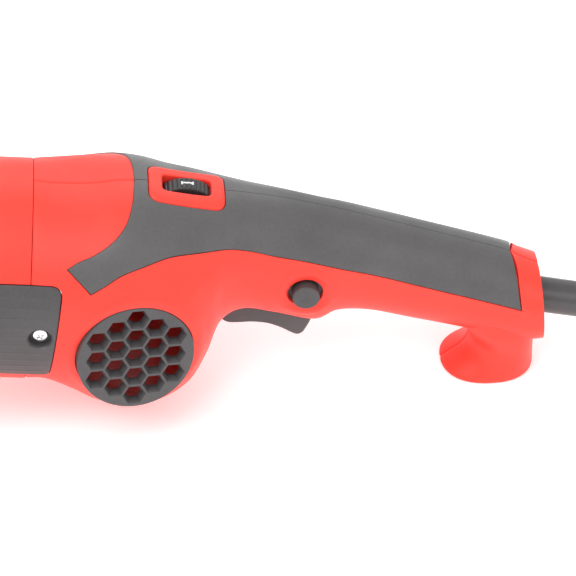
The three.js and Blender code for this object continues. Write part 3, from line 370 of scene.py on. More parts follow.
def plug_surface():
    """The plug's body: a lathed profile along -x whose radius carries ribs, 0.3 high, in its thin
    part."""
    profile = rounded([(-PLUG_LENGTH, 0), (-PLUG_LENGTH, PLUG_R), (-PLUG_LENGTH + 15, PLUG_R),
                       (-PLUG_LENGTH + 24, 8.3), (-8, 6), (-1, 4.9), (-1, 0)], [0, 3, 6, 6, 3, 0.6, 0], 7)
    along = np.interp(np.linspace(0, 1, 90), np.linspace(0, 1, len(profile)), profile[:, 0])
    radius = np.interp(np.linspace(0, 1, 90), np.linspace(0, 1, len(profile)), profile[:, 1])
    ribs = 0.3 * np.cos(along * 2 * np.pi / 2.6) * ((along > -14) & (along < -2.5))
    grid = lathe(np.stack([along, np.maximum(radius + ribs, 0)], -1), "x", sides=72)
    grid[..., 2] *= 0.97
    return grid


plug_grids = [plug_surface()]
for side in (-PIN_APART / 2, PIN_APART / 2):
    pin = rounded([(-PLUG_LENGTH - PLUG_PIN, 0), (-PLUG_LENGTH - PLUG_PIN, 2.35),
                   (-PLUG_LENGTH + 3, 2.35), (-PLUG_LENGTH + 3, 0)], [0, 1.2, 0, 0], 5)
    plug_grids.append(lathe(pin, "x", (0, side, 0), 32))


def by_the_coil(grid):
    """Table millimetres round the plug's place, in metres."""
    return (np.asarray(grid) + PLUG_AT) * MM


plug_body = several("plug_body", plug_grids[:1], placed=by_the_coil)
plug_pins = several("plug_pins", plug_grids[1:], placed=by_the_coil)
for piece in (plug_body, plug_pins):
    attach(piece, "housing")
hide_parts("power_plug")
print("plug at", np.round(PLUG_AT, 1))

# %% [markdown]
# The rear handle is one lofted form. A table gives its sections from the seam with the motor
# housing to the end cap: where the top and the bottom lie, how wide it is, and how square it is
# above and below the widest line. A section is a superellipse, |across|^m + |height|^m = 1, with
# its own power m for its upper and its lower half. Between the rows every value follows a
# Catmull-Rom curve, so the surface has no creases.

# %% Handle surface
SEAM_X = 163.0
SECTIONS = np.array([
    [0, 48.5, 0, -48, 48.5, 2, 2], [12, 47.8, 9, -48, 49, 2.2, 2],
    [25, 48.5, 20, -50.5, 49, 2.35, 2.3], [36, 50.5, 31, -54, 48.8, 2.3, 2.7],
    [47, 50.8, 45, -56, 48, 2.2, 3], [58, 49.3, 59, -53.5, 45.5, 2.1, 3],
    [68, 48, 72, -44, 41.5, 2.1, 3], [76, 47.4, 79, -30, 35.5, 2.1, 3],
    [84, 46.9, 84, -14.5, 29, 2.1, 2.8], [93, 46.2, 94, -9.5, 24.5, 2.1, 2.6],
    [107, 44.5, 109, -12.5, 22, 2.1, 2.6], [125, 41.2, 127, -16.5, 20.5, 2.1, 2.6],
    [137, 38.6, 137, -11.5, 20, 2.1, 2.3], [155, 34.3, 151, -11, 19.5, 2.1, 2.2],
    [172, 30, 170, -14.5, 19.5, 2.1, 2.2], [192, 25, 189, -18, 19.5, 2.1, 2.2],
    [210, 20.2, 207, -21.5, 19.8, 2.1, 2.2], [218, 17, 222, -24, 20.3, 2.1, 2.3],
    [226, 13.6, 232, -22, 20.3, 2.1, 2.4]])
LAST = len(SECTIONS) - 1


def section(s):
    """The table's seven values at row number s, by a Catmull-Rom curve through the rows."""
    s = np.clip(np.asarray(s, float), 0, LAST)
    i = np.minimum(s.astype(int), LAST - 1)
    t = (s - i)[..., None]
    a, b, c, d = (SECTIONS[np.clip(i + k, 0, LAST)] for k in (-1, 0, 1, 2))
    return b + 0.5 * t * (c - a + t * (2 * a - 5 * b + 4 * c - d + t * (3 * (b - c) + d - a)))


def bare_handle(s, angle):
    """Points on the handle at row s and an angle that is 0 on the ridge and pi underneath, on the
    left side for positive angles: middle + half height times cos, and half width times the
    superellipse's (1 - |cos|^m)^(1/m)."""
    top_x, top_z, low_x, low_z, half, above, below = np.moveaxis(section(s), -1, 0)
    c = np.cos(angle)
    m = np.where(c > 0, above, below)
    across = np.sign(np.sin(angle)) * np.maximum(1 - np.abs(c) ** m, 0) ** (1 / m)
    return np.stack([SEAM_X + (top_x + low_x) / 2 + (top_x - low_x) / 2 * c, -half * across,
                     (top_z + low_z) / 2 + (top_z - low_z) / 2 * c], -1)


def handle(s, angle, rise=0.0):
    """Points on the handle moved out along its normal by rise. The normal is the cross product of
    two short steps on the bare surface."""
    s, angle = np.broadcast_arrays(np.asarray(s, float), np.asarray(angle, float))
    step = 0.01
    safe = np.clip(s, step, LAST - step)
    near = np.where(np.abs(np.sin(angle)) < 0.02, np.sign(np.cos(angle)) * 0.02, 0.0)
    inner = np.where(np.cos(angle) > 0, np.where(angle < 0, -1, 1) * np.maximum(np.abs(angle), 0.02),
                     np.minimum(angle, np.pi - 0.02))
    along = bare_handle(safe + step, inner) - bare_handle(safe - step, inner)
    around = bare_handle(safe, inner + step) - bare_handle(safe, inner - step)
    normal = np.cross(around, along)
    flat = np.abs(near) > 0
    normal[..., 1] = np.where(flat, normal[..., 1] * np.abs(np.sin(angle)) / 0.02, normal[..., 1])
    normal /= np.linalg.norm(normal, axis=-1)[..., None]
    outward = bare_handle(safe, inner) - np.stack([
        bare_handle(safe, inner)[..., 0], np.zeros_like(safe),
        section(safe)[..., [1, 3]].mean(-1)], -1)
    normal *= np.sign((normal * outward).sum(-1))[..., None]
    return bare_handle(s, angle) + normal * np.asarray(rise, float)[..., None]


def on_side(x, z):
    """Row number and angle of the left-side point that is seen at (x, z) from the side: the row is
    halved in until its x fits, and cos(angle) comes from z."""
    x, z = np.asarray(x, float), np.asarray(z, float)
    low, high = np.zeros(x.shape), np.full(x.shape, float(LAST))
    for _ in range(30):
        s = (low + high) / 2
        row = section(s)
        c = (z - (row[..., 1] + row[..., 3]) / 2) / ((row[..., 1] - row[..., 3]) / 2)
        c = np.clip(c, -1, 1)
        found = SEAM_X + (row[..., 0] + row[..., 2]) / 2 + (row[..., 0] - row[..., 2]) / 2 * c
        low, high = np.where(found < x, s, low), np.where(found < x, high, s)
    return s, np.arccos(c)


probe = handle(*on_side([283.4], [7.3]))
print("button's place on the surface:", np.round(probe, 1))

# %% [markdown]
# The soft grip is a second material moulded into the shell: a tongue with a straight tip that
# climbs the flank to the ridge and runs back to the end cap. Its patch is spanned between a lower
# and an upper border, both given as side views and laid on the handle's surface. The same patch,
# a little larger, is the tool that cuts its pocket, so a fine groove stays all round.

# %% Grip patch
LOWER_BORDER = [(188.3, 23.2), (194, 26.6), (200, 30.2), (210, 33.2), (220, 34.9), (236, 35), (246.5, 34),
                (257, 31.4), (268, 28.2), (279, 25.7), (290, 23), (311.7, 18.7), (333.5, 13.3),
                (356, 7.8), (368, 4.9), (380.6, 1.9)]
UPPER_BORDER = [(177.9, 31.8), (182, 34.2), (188, 36.6), (194, 39.6), (199, 42.8), (202.6, 46),
                (204.8, 49.2), (206.2, 52)]
REAR_X = 375.2
GRIP_LENGTH, GRIP_WIDTH = 215.0, 45.0


def border_lines(count=400):
    """Row and angle along the lower border and along the upper one, which goes on along the ridge,
    both at even steps of their length."""
    lower = smooth_path(LOWER_BORDER, count)
    upper = smooth_path(UPPER_BORDER, 120)
    s0, a0 = on_side(lower[:, 0], lower[:, 1])
    s1, a1 = on_side(upper[:, 0], np.minimum(upper[:, 1], 200))
    ridge_s, _ = on_side(np.array([REAR_X]), np.array([99.0]))
    share = 60 / 220
    first = np.stack([s1, a1], -1)
    second = np.stack([np.linspace(s1[-1], ridge_s[0], 401), np.zeros(401)], -1)[1:]
    t1 = np.linspace(0, share * 0.72, 120)
    t2 = np.linspace(share * 0.72, 1, 401)[1:]
    return (np.linspace(0, 1, count), np.stack([s0, a0], -1),
            np.concatenate([t1, t2]), np.concatenate([first, second]))


BORDERS = border_lines()


def stretched(t, knots, values):
    """Linear interpolation that goes on in a straight line beyond both ends."""
    out = np.stack([np.interp(t, knots, values[:, k]) for k in range(2)], -1)
    for end, near in ((0, 3), (-1, -4)):
        slope = (values[end] - values[near]) / (knots[end] - knots[near])
        beyond = (t < knots[0]) if end == 0 else (t > knots[-1])
        out += np.where(beyond, t - knots[end], 0)[..., None] * slope
    return out


def patch(u, v):
    """Row and angle at u along the grip and v from its lower border (0) to its upper one (1)."""
    low = stretched(u, BORDERS[0], BORDERS[1])
    high = stretched(u, BORDERS[2], BORDERS[3])
    mix = low + (high - low) * v[..., None]
    return mix[..., 0], mix[..., 1]


def eased(count, edge_count, edge):
    """Steps from 0 to 1 with edge_count extra ones within edge of each end."""
    near = edge * np.linspace(0, 1, edge_count + 1) ** 1.5
    return np.concatenate([near, np.linspace(edge, 1 - edge, count)[1:-1], 1 - near[::-1]])


def grip_solid(rise, depth, margin, round_by):
    """A closed layer over the patch, from depth below the handle's surface to rise above it. Its
    rim sinks over round_by millimetres as a quarter circle does. margin grows the patch."""
    u = eased(260, 7, 0.012)
    v = eased(40, 7, 0.06)
    uu, vv = np.meshgrid(u, v, indexing="ij")
    s, a = patch(uu + (uu * 2 - 1) * margin / GRIP_LENGTH, vv + (vv * 2 - 1) * margin / GRIP_WIDTH)
    seen = handle(s, a)
    du = np.minimum(np.linalg.norm(seen - seen[:1], axis=-1),
                    np.linalg.norm(seen - seen[-1:], axis=-1))
    run = np.concatenate([np.zeros((len(u), 1)), np.cumsum(
        np.linalg.norm(np.diff(seen, axis=1), axis=-1), axis=1)], 1)
    front = uu < 0.19
    dv = np.where(front, np.minimum(run, run[:, -1:] - run), np.minimum(run, 5 * (run[:, -1:] - run)))
    near = np.clip(np.minimum(du, dv) / max(round_by, 1e-3), 0, 1)
    sink = round_by * (1 - np.sqrt(1 - (1 - near) ** 2))
    top = handle(s, a, rise - sink)
    under = handle(s, a, -depth)
    return np.concatenate([top, under[:, ::-1]], axis=1)


print("grip patch spans", np.round(np.ptp(handle(*patch(*np.meshgrid([0.0, 1.0], [0.0, 1.0]))), (0, 1)), 1))

# %% [markdown]
# Each half of the handle's shell starts as half of the loft with a wall. Soft changes of the
# surface are added as a rise before any cut: the lip beside the grip, the dished ring round the
# lock button and the fine rounding at the parting line. Then tools cut the openings: grip pocket,
# grille seat, brush cover, button hole, dial window, trigger slot and cord outlet.

# %% Shell halves
WALL = 3.0
FROM_MIDDLE = 0.04  # every half stops this far from the parting plane
CLEARANCE = 0.35  # round a part in its pocket
BUTTON = np.array([283.4, -20.8, 7.3])
GRILLE = np.array([209.3, -47.6, -8.4])
GRILLE_YAW, GRILLE_TILT = math.radians(10), math.radians(7)
GRILLE_R = 25.6
DIAL_X, DIAL_R, DIAL_WIDTH = 228.5, 15.0, 7.6
DIAL_Z = 48.25 + 2.4 - DIAL_R
GUARD_AT, GUARD_DROOP = np.array([395.8, 0, -4.7]), math.radians(7)
TRIGGER_WIDTH = 18.0
COVER_SCREW_X, COVER_SCREW_Z = 167.8, 1.0


def grille_axes():
    """The grille's own frame: across, out of the shell, and up."""
    cy, sy, ct, st = (f(v) for v in (GRILLE_YAW, GRILLE_TILT) for f in (math.cos, math.sin))
    turn_z = np.array([[cy, -sy, 0], [sy, cy, 0], [0, 0, 1]])
    turn_x = np.array([[1, 0, 0], [0, ct, st], [0, -st, ct]])
    return turn_z @ turn_x


def on_grille(points):
    """Points drawn about the y axis, with the outside at minus y, moved onto the grille's place."""
    return np.asarray(points) @ grille_axes().T + GRILLE


def on_guard(points):
    """Points drawn about the x axis, moved onto the cord guard's axis."""
    c, s = math.cos(GUARD_DROOP), math.sin(GUARD_DROOP)
    return np.asarray(points) @ np.array([[c, 0, s], [0, 1, 0], [-s, 0, c]]).T + GUARD_AT


def beside(points, path, width):
    """1 on a path and less away from it, as a bell curve over width millimetres."""
    line = np.asarray(path)
    gap = np.full(points.shape[:2], np.inf)
    for a, b in zip(line[:-1], line[1:]):
        t = np.clip(((points - a) @ (b - a)) / max((b - a) @ (b - a), 1e-9), 0, 1)
        gap = np.minimum(gap, np.linalg.norm(points - a - t[..., None] * (b - a), axis=-1))
    return np.exp(-(gap / width) ** 2)


LIP_HEIGHT, LIP_WIDTH = 0.45, 2.2
DISH_RING_R, DISH_R, DISH_DEPTH = 11.6, 9.3, 1.5


def shell_rise(points, button):
    """Millimetres added to the bare handle: the lip, the button's dish and the seams' rounding."""
    lower = handle(*on_side(*np.array(smooth_path(LOWER_BORDER, 60)).T))
    rear = handle(*patch(np.full(12, 1.0), np.linspace(0, 1, 12)))
    border = np.concatenate([lower, rear])
    lip = LIP_HEIGHT * beside(points, border, LIP_WIDTH)
    d = np.linalg.norm((points - BUTTON)[..., [0, 2]], axis=-1)
    dish = 0.5 * np.exp(-((d - DISH_RING_R) / 2.0) ** 2) - DISH_DEPTH * np.exp(-(d / DISH_R) ** 4)
    dish *= (points[..., 1] < 0) * button
    seam = -0.3 * np.exp(-(points[..., 1] / 0.55) ** 2)
    seam -= 0.35 * np.exp(-((points[..., 0] - SEAM_X) / 0.6) ** 2)
    g = np.linalg.norm((points - GRILLE)[..., [0, 2]], axis=-1)
    collar = 0.5 * np.exp(-((g - GRILLE_R - 3) / 2.2) ** 2) * (points[..., 1] < -20)
    return lip + dish + seam + collar


def half_rows(rows=330, columns=150):
    """Rows and angles for half the handle: even in row number, and even along each section's
    length, which a fine section and an interpolation give."""
    s = np.linspace(0, LAST, rows)
    fine = np.linspace(0, np.pi, 700)
    line = bare_handle(s[:, None], fine[None])
    run = np.concatenate([np.zeros((rows, 1)), np.cumsum(
        np.linalg.norm(np.diff(line, axis=1), axis=-1), axis=1)], 1)
    near = 0.012 * np.linspace(0, 1, 6) ** 2
    share = np.concatenate([near, np.linspace(0.012, 0.988, columns)[1:-1], 1 - near[::-1]])
    return s[:, None], np.array([np.interp(share * r[-1], r, fine) for r in run])


def half_shell(button):
    """The left half as a closed solid: the skin from ridge to keel, and a flat wall at y = 0."""
    s, a = half_rows()
    skin = handle(s, a)
    skin = handle(s, a, shell_rise(skin, button))
    skin[..., 1] = np.minimum(skin[..., 1], -FROM_MIDDLE)
    return skin


def full_inner(rise, s0=0.0, s1=LAST, ahead=0.0):
    """The handle's form moved in by rise on both sides, to hollow the shell."""
    s = np.linspace(s0, s1, 120)[:, None]
    a = np.linspace(-np.pi, np.pi, 121)[None, :-1]
    grid = handle(s, a, np.full((120, 120), rise))
    grid[0, :, 0] -= ahead
    return grid


FOOT_ROWS = np.array([  # height over the table, reach ahead, reach behind, half width ahead, behind
    [0, 20.2, 20.3, 0.95, 0.95], [0.6, 21, 20.8, 0.985, 0.985], [1.6, 21.4, 21, 0.99, 1.0],
    [2.8, 20.6, 21, 0.96, 1.0], [4.4, 18.6, 20.9, 0.88, 1.0], [6.4, 16, 20.8, 0.78, 1.0],
    [9, 13, 20.7, 0.68, 1.0], [12, 10.6, 20.6, 0.62, 1.0], [16, 9, 20.6, 0.62, 1.01],
    [20, 9.4, 20.6, 0.76, 1.02], [25, 12, 20.7, 0.92, 1.02], [35, 17, 20.8, 0.95, 0.97]])
TILT = math.radians(6)
TABLE = -82.0
FOOT_BEHIND = 211.0  # from the seam to the foot's middle
FOOT_HALF = 19.0
FOOT_POWER = 2.3


def half_foot():
    """The foot's left half in the table's frame: superellipses of power 2.3 whose half width goes
    from one value ahead to another behind, as (1 + cos a) / 2 to the power 0.42. The toe is scooped
    to a waist; behind, the side stays flush with the handle. At the parting plane the skin sinks."""
    rows = smooth_path(FOOT_ROWS, 90)
    angle = np.linspace(np.pi, 2 * np.pi, 110)
    height, front, rear, ahead, behind = (v[:, None] for v in rows.T)
    c, s = np.cos(angle), np.sin(angle)
    square = 2 / FOOT_POWER
    b = FOOT_HALF * (ahead + (behind - ahead) * (0.5 + 0.5 * c) ** 0.42)
    y = b * np.sign(s) * np.abs(s) ** square
    sunk = 1 - 0.03 * np.exp(-(y / 0.7) ** 2)
    x = FOOT_X + (rear - front) / 2 + (front + rear) / 2 * np.sign(c) * np.abs(c) ** square * sunk
    y = np.minimum(y, -FROM_MIDDLE)
    z = TABLE + np.broadcast_to(height, x.shape)
    c, s = math.cos(-TILT), math.sin(-TILT)
    return np.stack([x * c + z * s, y, -x * s + z * c], -1)


FOOT_X = (SEAM_X + FOOT_BEHIND + TABLE * math.sin(TILT)) / math.cos(TILT)
print("foot reaches down to", round(float(on_table(half_foot())[..., 2].min()) * 1000, 2), "mm")

# %% [markdown]
# Flat-looking parts that follow a curved surface, such as the brush cover, are laid over it: an
# outline in side view shrinks ring by ring towards its middle, and every ring point is lifted onto
# the surface. The same recipe with a little margin makes the tool for the pocket.

# %% Layers over a surface


def outline_points(corners, radius, count=280):
    """A closed outline with rounded corners, at even steps."""
    p = rounded(corners, radius, 9, closed=True)
    p = np.concatenate([p, p[:1]])
    run = np.concatenate([[0], np.cumsum(np.linalg.norm(np.diff(p, axis=0), axis=1))])
    even = np.arange(count) / count * run[-1]
    return np.stack([np.interp(even, run, p[:, k]) for k in range(2)], -1)


def grown(outline, by):
    """A closed outline moved out by a distance along its normals."""
    way = np.roll(outline, -1, 0) - np.roll(outline, 1, 0)
    normal = np.stack([way[:, 1], -way[:, 0]], -1) / np.linalg.norm(way, axis=1)[:, None]
    turn = (outline[:, 0] * np.roll(outline[:, 1], -1) - outline[:, 1] * np.roll(outline[:, 0], -1))
    return outline + normal * by * np.sign(turn.sum())


def layer(outline, surface, low, high, edge, rings=60, relief=None):
    """A closed layer between low and high above surface(a, b, height). Its upper rim is rounded by
    edge: the outline moves in by edge (1 - sin q) while the height falls by edge (1 - cos q)."""
    middle = outline.mean(0)
    q = np.linspace(0, np.pi / 2, 7)
    rows = [(middle + (outline - middle) * w, low) for w in np.linspace(0.02, 1, 6)]
    rows += [(grown(outline, -edge * (1 - np.cos(t))), high - edge + edge * np.sin(t)) for t in q]
    inner = rows[-1][0]
    rows += [(middle + (inner - middle) * w, high) for w in np.linspace(1, 0.02, rings)[1:]]
    flat = np.array([p for p, _ in rows])
    height = np.array([np.full(len(outline), h) for _, h in rows])
    if relief is not None:
        height[13:] += relief(flat[13:, :, 0], flat[13:, :, 1])
    return surface(flat[..., 0], flat[..., 1], height)


BODY_R = 48.5


def on_body(x, z, height):
    """The motor housing's left flank, seen from the side: radius BODY_R plus height, at height z."""
    r = BODY_R + height
    angle = z / BODY_R
    return np.stack([x, -r * np.cos(angle), r * np.sin(angle)], -1)


COVER_HALF = BODY_R * math.asin(24.6 / BODY_R)
COVER = outline_points([(112, -COVER_HALF), (172.6, -COVER_HALF), (176.4, COVER_HALF), (112, COVER_HALF)],
                       [2.5, 3.5, 5.5, 2.5])


LINES_APART = 4.6


def cover_lines(x, z):
    """Fine raised lines along the cover: narrow bell-shaped ridges at even distances."""
    phase = (z + COVER_HALF) / LINES_APART
    away_from = np.abs(phase - np.round(phase)) * LINES_APART
    inside = (np.abs(z) < COVER_HALF - 2) * (x > 114) * (x < 171)
    return 0.16 * np.exp(-(away_from / 0.35) ** 2) * inside


def brush_cover_grid():
    """The cover from 1.6 below the housing's surface to 0.8 above it, with its lines."""
    return layer(COVER, on_body, -1.6, 0.8, 0.5, 130, cover_lines)


def pocket_tool(name, mirror):
    """The cover's own layer, grown by the clearance, cuts its pocket."""
    return form(name, layer(grown(COVER, CLEARANCE), on_body, -1.95, 6, 0.01, 8), mirror=mirror)


def rod_y(name, radius, y0, y1, at_x, at_z, mirror=False, sides=64):
    """A plain rod across the machine, for cutting holes."""
    grid = lathe([(y0, radius), (y1, radius)], "y", (at_x, 0, at_z), sides)
    return form(name, grid, mirror=mirror)


def cup_hole(mirror):
    """The hole for the cup that holds the cover's screw."""
    return rod_y("cup hole", 6.6, -BODY_R - 4, -BODY_R + 5.4, COVER_SCREW_X, COVER_SCREW_Z, mirror)


print("cover outline spans", np.round(np.ptp(COVER, axis=0), 1), "mm")

# %% [markdown]
# The speed dial sits in a red frame that stands out of the grip. Half a frame is a bent ring: its
# section runs from the window's wall over a rounded rim and down into the shell, and follows the
# ridge's surface from above.

# %% Dial frame
FRAME_HALF, WINDOW_HALF = (16.6, 12.2), (10.6, 5.5)


def rounded_box(half, radius, count=121):
    """Half a rounded rectangle, from ahead on the ridge round the left side to behind."""
    a, b = half
    p = rounded([(-a, 0), (-a, -b), (a, -b), (a, 0)], [0, radius, radius, 0], 15)
    run = np.concatenate([[0], np.cumsum(np.linalg.norm(np.diff(p, axis=0), axis=1))])
    even = np.linspace(0, run[-1], count)
    return np.stack([np.interp(even, run, p[:, k]) for k in range(2)], -1)


def on_ridge(x, y, height):
    """The handle's surface from above: the row is halved in until its x fits, cos(angle) comes from
    y by the superellipse."""
    low, high = np.zeros(x.shape), np.full(x.shape, float(LAST))
    for _ in range(30):
        s = (low + high) / 2
        row = section(s)
        c = np.maximum(1 - np.abs(y / row[..., 4]) ** row[..., 5], 0) ** (1 / row[..., 5])
        found = SEAM_X + (row[..., 0] + row[..., 2]) / 2 + (row[..., 0] - row[..., 2]) / 2 * c
        low, high = np.where(found < x, s, low), np.where(found < x, high, s)
    point = bare_handle(s, np.arccos(np.clip(c, -1, 1)))
    return np.stack([x, y, point[..., 2] + height], -1)


def half_frame():
    """Rows go along the half outline, columns round the section."""
    inner = rounded_box(WINDOW_HALF, 2.6)
    outer = rounded_box(FRAME_HALF, 5.2)
    q = np.linspace(0, np.pi / 2, 7)
    rim_in, rim_out, top = 0.12, 0.3, 1.35
    share = np.concatenate([[0], rim_in * (1 - np.cos(q)), 1 - rim_out * (1 - np.sin(q)), [1]])
    height = np.concatenate([[-3.4], top - 1.0 + 1.0 * np.sin(q), top - 1.2 + 1.2 * np.cos(q), [-3.4]])
    flat = inner[:, None] + (outer - inner)[:, None] * share[None, :, None]
    grid = on_ridge(flat[..., 0] + DIAL_X, np.minimum(flat[..., 1], -FROM_MIDDLE),
                    np.broadcast_to(height, flat.shape[:2]))
    return grid


def plan_prism(half, radius, z0, z1):
    """A rounded rectangle in plan, carried up from z0 to z1, round the dial's place."""
    left = rounded_box(half, radius, 61)
    ring = np.concatenate([left, (left * (1, -1))[::-1][1:-1]])
    rows = [np.column_stack([ring[:, 0] + DIAL_X, ring[:, 1], np.full(len(ring), z)])
            for z in (z0, z1)]
    return np.array(rows)


print("frame half:", half_frame().shape)

# %% Cutting the shells
SCREWS = [(SEAM_X + 17, -36), (SEAM_X + 83, 4), (SEAM_X + 159, 6)]
SLOT = [(247.6, -34), (291.6, -34), (291.6, 1), (247.6, 1)]


def carved_shell(name, right):
    """Half a shell: hollowed, joined to its foot, its dial frame and the screw's cup, then cut."""
    piece = form(name, half_shell(not right), mirror=right)
    inner = full_inner(-WALL, 0, LAST - 0.42, 8)
    carve(piece, [form("hollow", inner)])
    carve(piece, [form("foot", half_foot(), mirror=right)], "UNION")
    cup = lathe([(-BODY_R + 2.6, 8.5), (-BODY_R + 16, 8.5)], "y", (COVER_SCREW_X, 0, COVER_SCREW_Z), 48)
    carve(piece, [form("cup", cup, mirror=right)], "UNION")
    tools = [form("grip pocket", grip_solid(4, 1.5, 0.28, 0), mirror=right)]
    carve(piece, tools)
    window = form("window", plan_prism(WINDOW_HALF, 2.6, 30, 60), mirror=right)
    carve(piece, [window])
    carve(piece, [form("frame", half_frame(), mirror=right)], "UNION")
    seat = on_grille(lathe([(-12, GRILLE_R + CLEARANCE), (12, GRILLE_R + CLEARANCE)], "y", sides=128))
    tools = [
        form("grille seat", seat, mirror=right),
        pocket_tool("cover pocket", right),
        cup_hole(right),
        form("slot", prism(rounded(SLOT, 2.0, 6, True), -9.6, 9.6), mirror=right),
        form("outlet", on_guard(lathe([(-30, 8.4), (20, 8.4)], "x", sides=64)), mirror=right),
        form("flange", on_guard(lathe([(-18, 11), (-11.2, 11)], "x", sides=64)), mirror=right),
    ]
    if right:
        tools += [rod_y("screw hole", 4.1, 11, 60, x, z) for x, z in SCREWS]
    else:
        flare = rounded([(-26, 10.5), (-21.6, 9.2), (-19.7, 7.75), (-18, 7.5), (-6, 7.5)], 0.8, 4)
        tools.append(form("button hole", lathe(flare, "y", (BUTTON[0], 0, BUTTON[2]), 96)))
    for tool in tools:
        carve(piece, [tool])
    soften(piece, 35)
    return piece


shells = [carved_shell("handle_shell_left_skin", False), carved_shell("handle_shell_right_skin", True)]
for piece, node in zip(shells, ("handle_shell_left", "handle_shell_right")):
    stand_in(piece, "housing", node)
    print(piece.name, len(piece.data.polygons), "faces")

# %% Soft grip
grips = []
for right, side in ((False, "left"), (True, "right")):
    grip = form("soft_grip_" + side, grip_solid(0.5, 1.2, 0, 0.8), mirror=right)
    gap = plan_prism([half + CLEARANCE for half in FRAME_HALF], 5.4, 20, 80)
    carve(grip, [form("frame gap", gap)], smooth=40)
    stand_in(grip, "housing", "grip_cover_" + side)
    grips.append(grip)

# %% Brush covers and their screws


def cross_screw(face, r=3.4):
    """A pan head with a domed face, as a lathe profile about the y axis; its cross recess is cut
    by two small tapered bars in screw_piece."""
    head = rounded([(face, 0), (face + 0.1, 1.8), (face + 0.55, r), (face + 1.7, r), (face + 1.7, 1.6),
                    (face + 9, 1.6), (face + 9, 0)], [0, 1.0, 0.5, 0.2, 0, 0.2, 0], 6)
    return lathe(head, "y", sides=48)


def screw_piece(name, node, at, mirror, turned=0.6, face=-BODY_R + 1.2, r=3.4):
    """The screw at a place, less two crossed tapered bars turned by an angle."""
    piece = form(name, cross_screw(face, r) + (at[0], 0, at[1]), mirror=mirror)
    for angle in (turned, turned + math.pi / 2):
        c, s = math.cos(angle), math.sin(angle)
        w, h = 0.5, 2.0
        corners = np.array([(-h, -w), (h, -w), (h, w), (-h, w)]) @ np.array([[c, s], [-s, c]])
        rows = [np.column_stack([corners[:, 0] * k + at[0], np.full(4, y), corners[:, 1] * k + at[1]])
                for y, k in ((face - 1, 1.15), (face + 1.1, 0.55))]
        carve(piece, [form("cross", np.array(rows), mirror=mirror)], smooth=40)
    stand_in(piece, "housing", node)
    return piece


covers, screws = [], []
for right, side in ((False, "left"), (True, "right")):
    cover = form("brush_cover_panel_" + side, brush_cover_grid(), mirror=right)
    cup = lathe([(-BODY_R + 0.5, 6.2), (-BODY_R + 5, 6.2)], "y", (COVER_SCREW_X, 0, COVER_SCREW_Z), 64)
    carve(cover, [form("cup", cup, mirror=right)], "UNION")
    mouth = rounded([(-BODY_R - 4, 6.4), (-BODY_R - 0.9, 5.7), (-BODY_R - 0.1, 4.9),
                     (-BODY_R + 2.9, 4.85)], 0.6, 5)
    mouth = lathe(mouth, "y", (COVER_SCREW_X, 0, COVER_SCREW_Z), 64)
    carve(cover, [form("mouth", mouth, mirror=right)], smooth=35)
    stand_in(cover, "housing", "brush_cover_" + side)
    covers.append(cover)
    screws.append(screw_piece("cover_screw_" + side, "brush_cover_screw_" + side,
                              (COVER_SCREW_X, COVER_SCREW_Z), right))
print("covers and screws:", len(covers) + len(screws))

# %% [markdown]
# The vent grille is a moulded disc of hexagonal funnels in columns of three, four, five, four and
# three. Every funnel is a tapered hexagon that narrows to its hole, and the cells that the rim cuts
# are blind. All funnels are tools of one shape; only their depth differs.

# %% Vent grille
HEX_PITCH, HEX_R = 9.75, 3.75


def hexagon(x, z, radius):
    """Six corners about (x, z), one of them ahead."""
    angle = np.arange(6) * np.pi / 3
    return np.stack([x + radius * np.cos(angle), z + radius * np.sin(angle)], -1)


def funnel(x, z, blind):
    """Rows of a hexagonal funnel, wide at the face y = -0.6 and narrow at the hole."""
    depth = 2.2 if blind else 1.9
    rows = [(-1.6, 5.95), (-0.62, 5.05), (depth, HEX_R)]
    if not blind:
        rows.append((6, HEX_R))
    return np.array([np.insert(hexagon(x, z, r), 1, y, axis=1) for y, r in rows])


def vent_grille(name, right):
    """A lathed disc less one funnel for every cell; cells that the rim cuts are blind."""
    rim = rounded([(3.5, 0.01), (3.5, GRILLE_R), (-0.75, GRILLE_R), (-0.75, 23.9), (-0.5, 0.01)],
                  [0, 0.3, 0.5, 0.8, 0], 5)
    piece = form(name, on_grille(lathe(rim, "y", sides=128)), mirror=right)
    for column in range(-3, 4):
        count = 5 - abs(column)
        for k in range(-1, count + 1):
            x = column * HEX_PITCH * math.cos(math.pi / 6)
            z = (k - (count - 1) / 2) * HEX_PITCH
            far = math.hypot(x, z)
            if far > 25.5:
                continue
            blind = abs(column) == 3 or k in (-1, count)
            tool = form("funnel", on_grille(funnel(x, z, blind)), mirror=right)
            if blind:
                keep = form("keep", on_grille(lathe([(-5, 23.2), (9, 23.2)], "y", sides=96)), mirror=right)
                carve(tool, [keep], "INTERSECT")
            carve(piece, [tool])
    soften(piece, 25)
    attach(piece, "housing")
    return piece


grilles = []
for right, side in ((False, "left"), (True, "right")):
    grille = vent_grille("grille_" + side, right)
    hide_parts("vent_grille_" + side)
    grilles.append(grille)
    print(grille.name, len(grille.data.polygons), "faces")

# %% [markdown]
# The controls: a knurled thumb wheel behind the window, the trigger with its rounded rim and
# finger hollow, and the lock button, which is a short lathe profile. The wheel's knurl is a wave on
# its radius, 0.55 deep, that fades out at the rims.

# %% Speed dial


def knurl(angle, along):
    """Rounded teeth round the rim: minus a power of a sine, 42 of them, faded towards both faces."""
    fade = np.clip((DIAL_WIDTH / 2 - np.abs(along)) / 1.0, 0, 1)
    return -0.55 * np.abs(np.sin(21 * angle)) ** 6 * fade


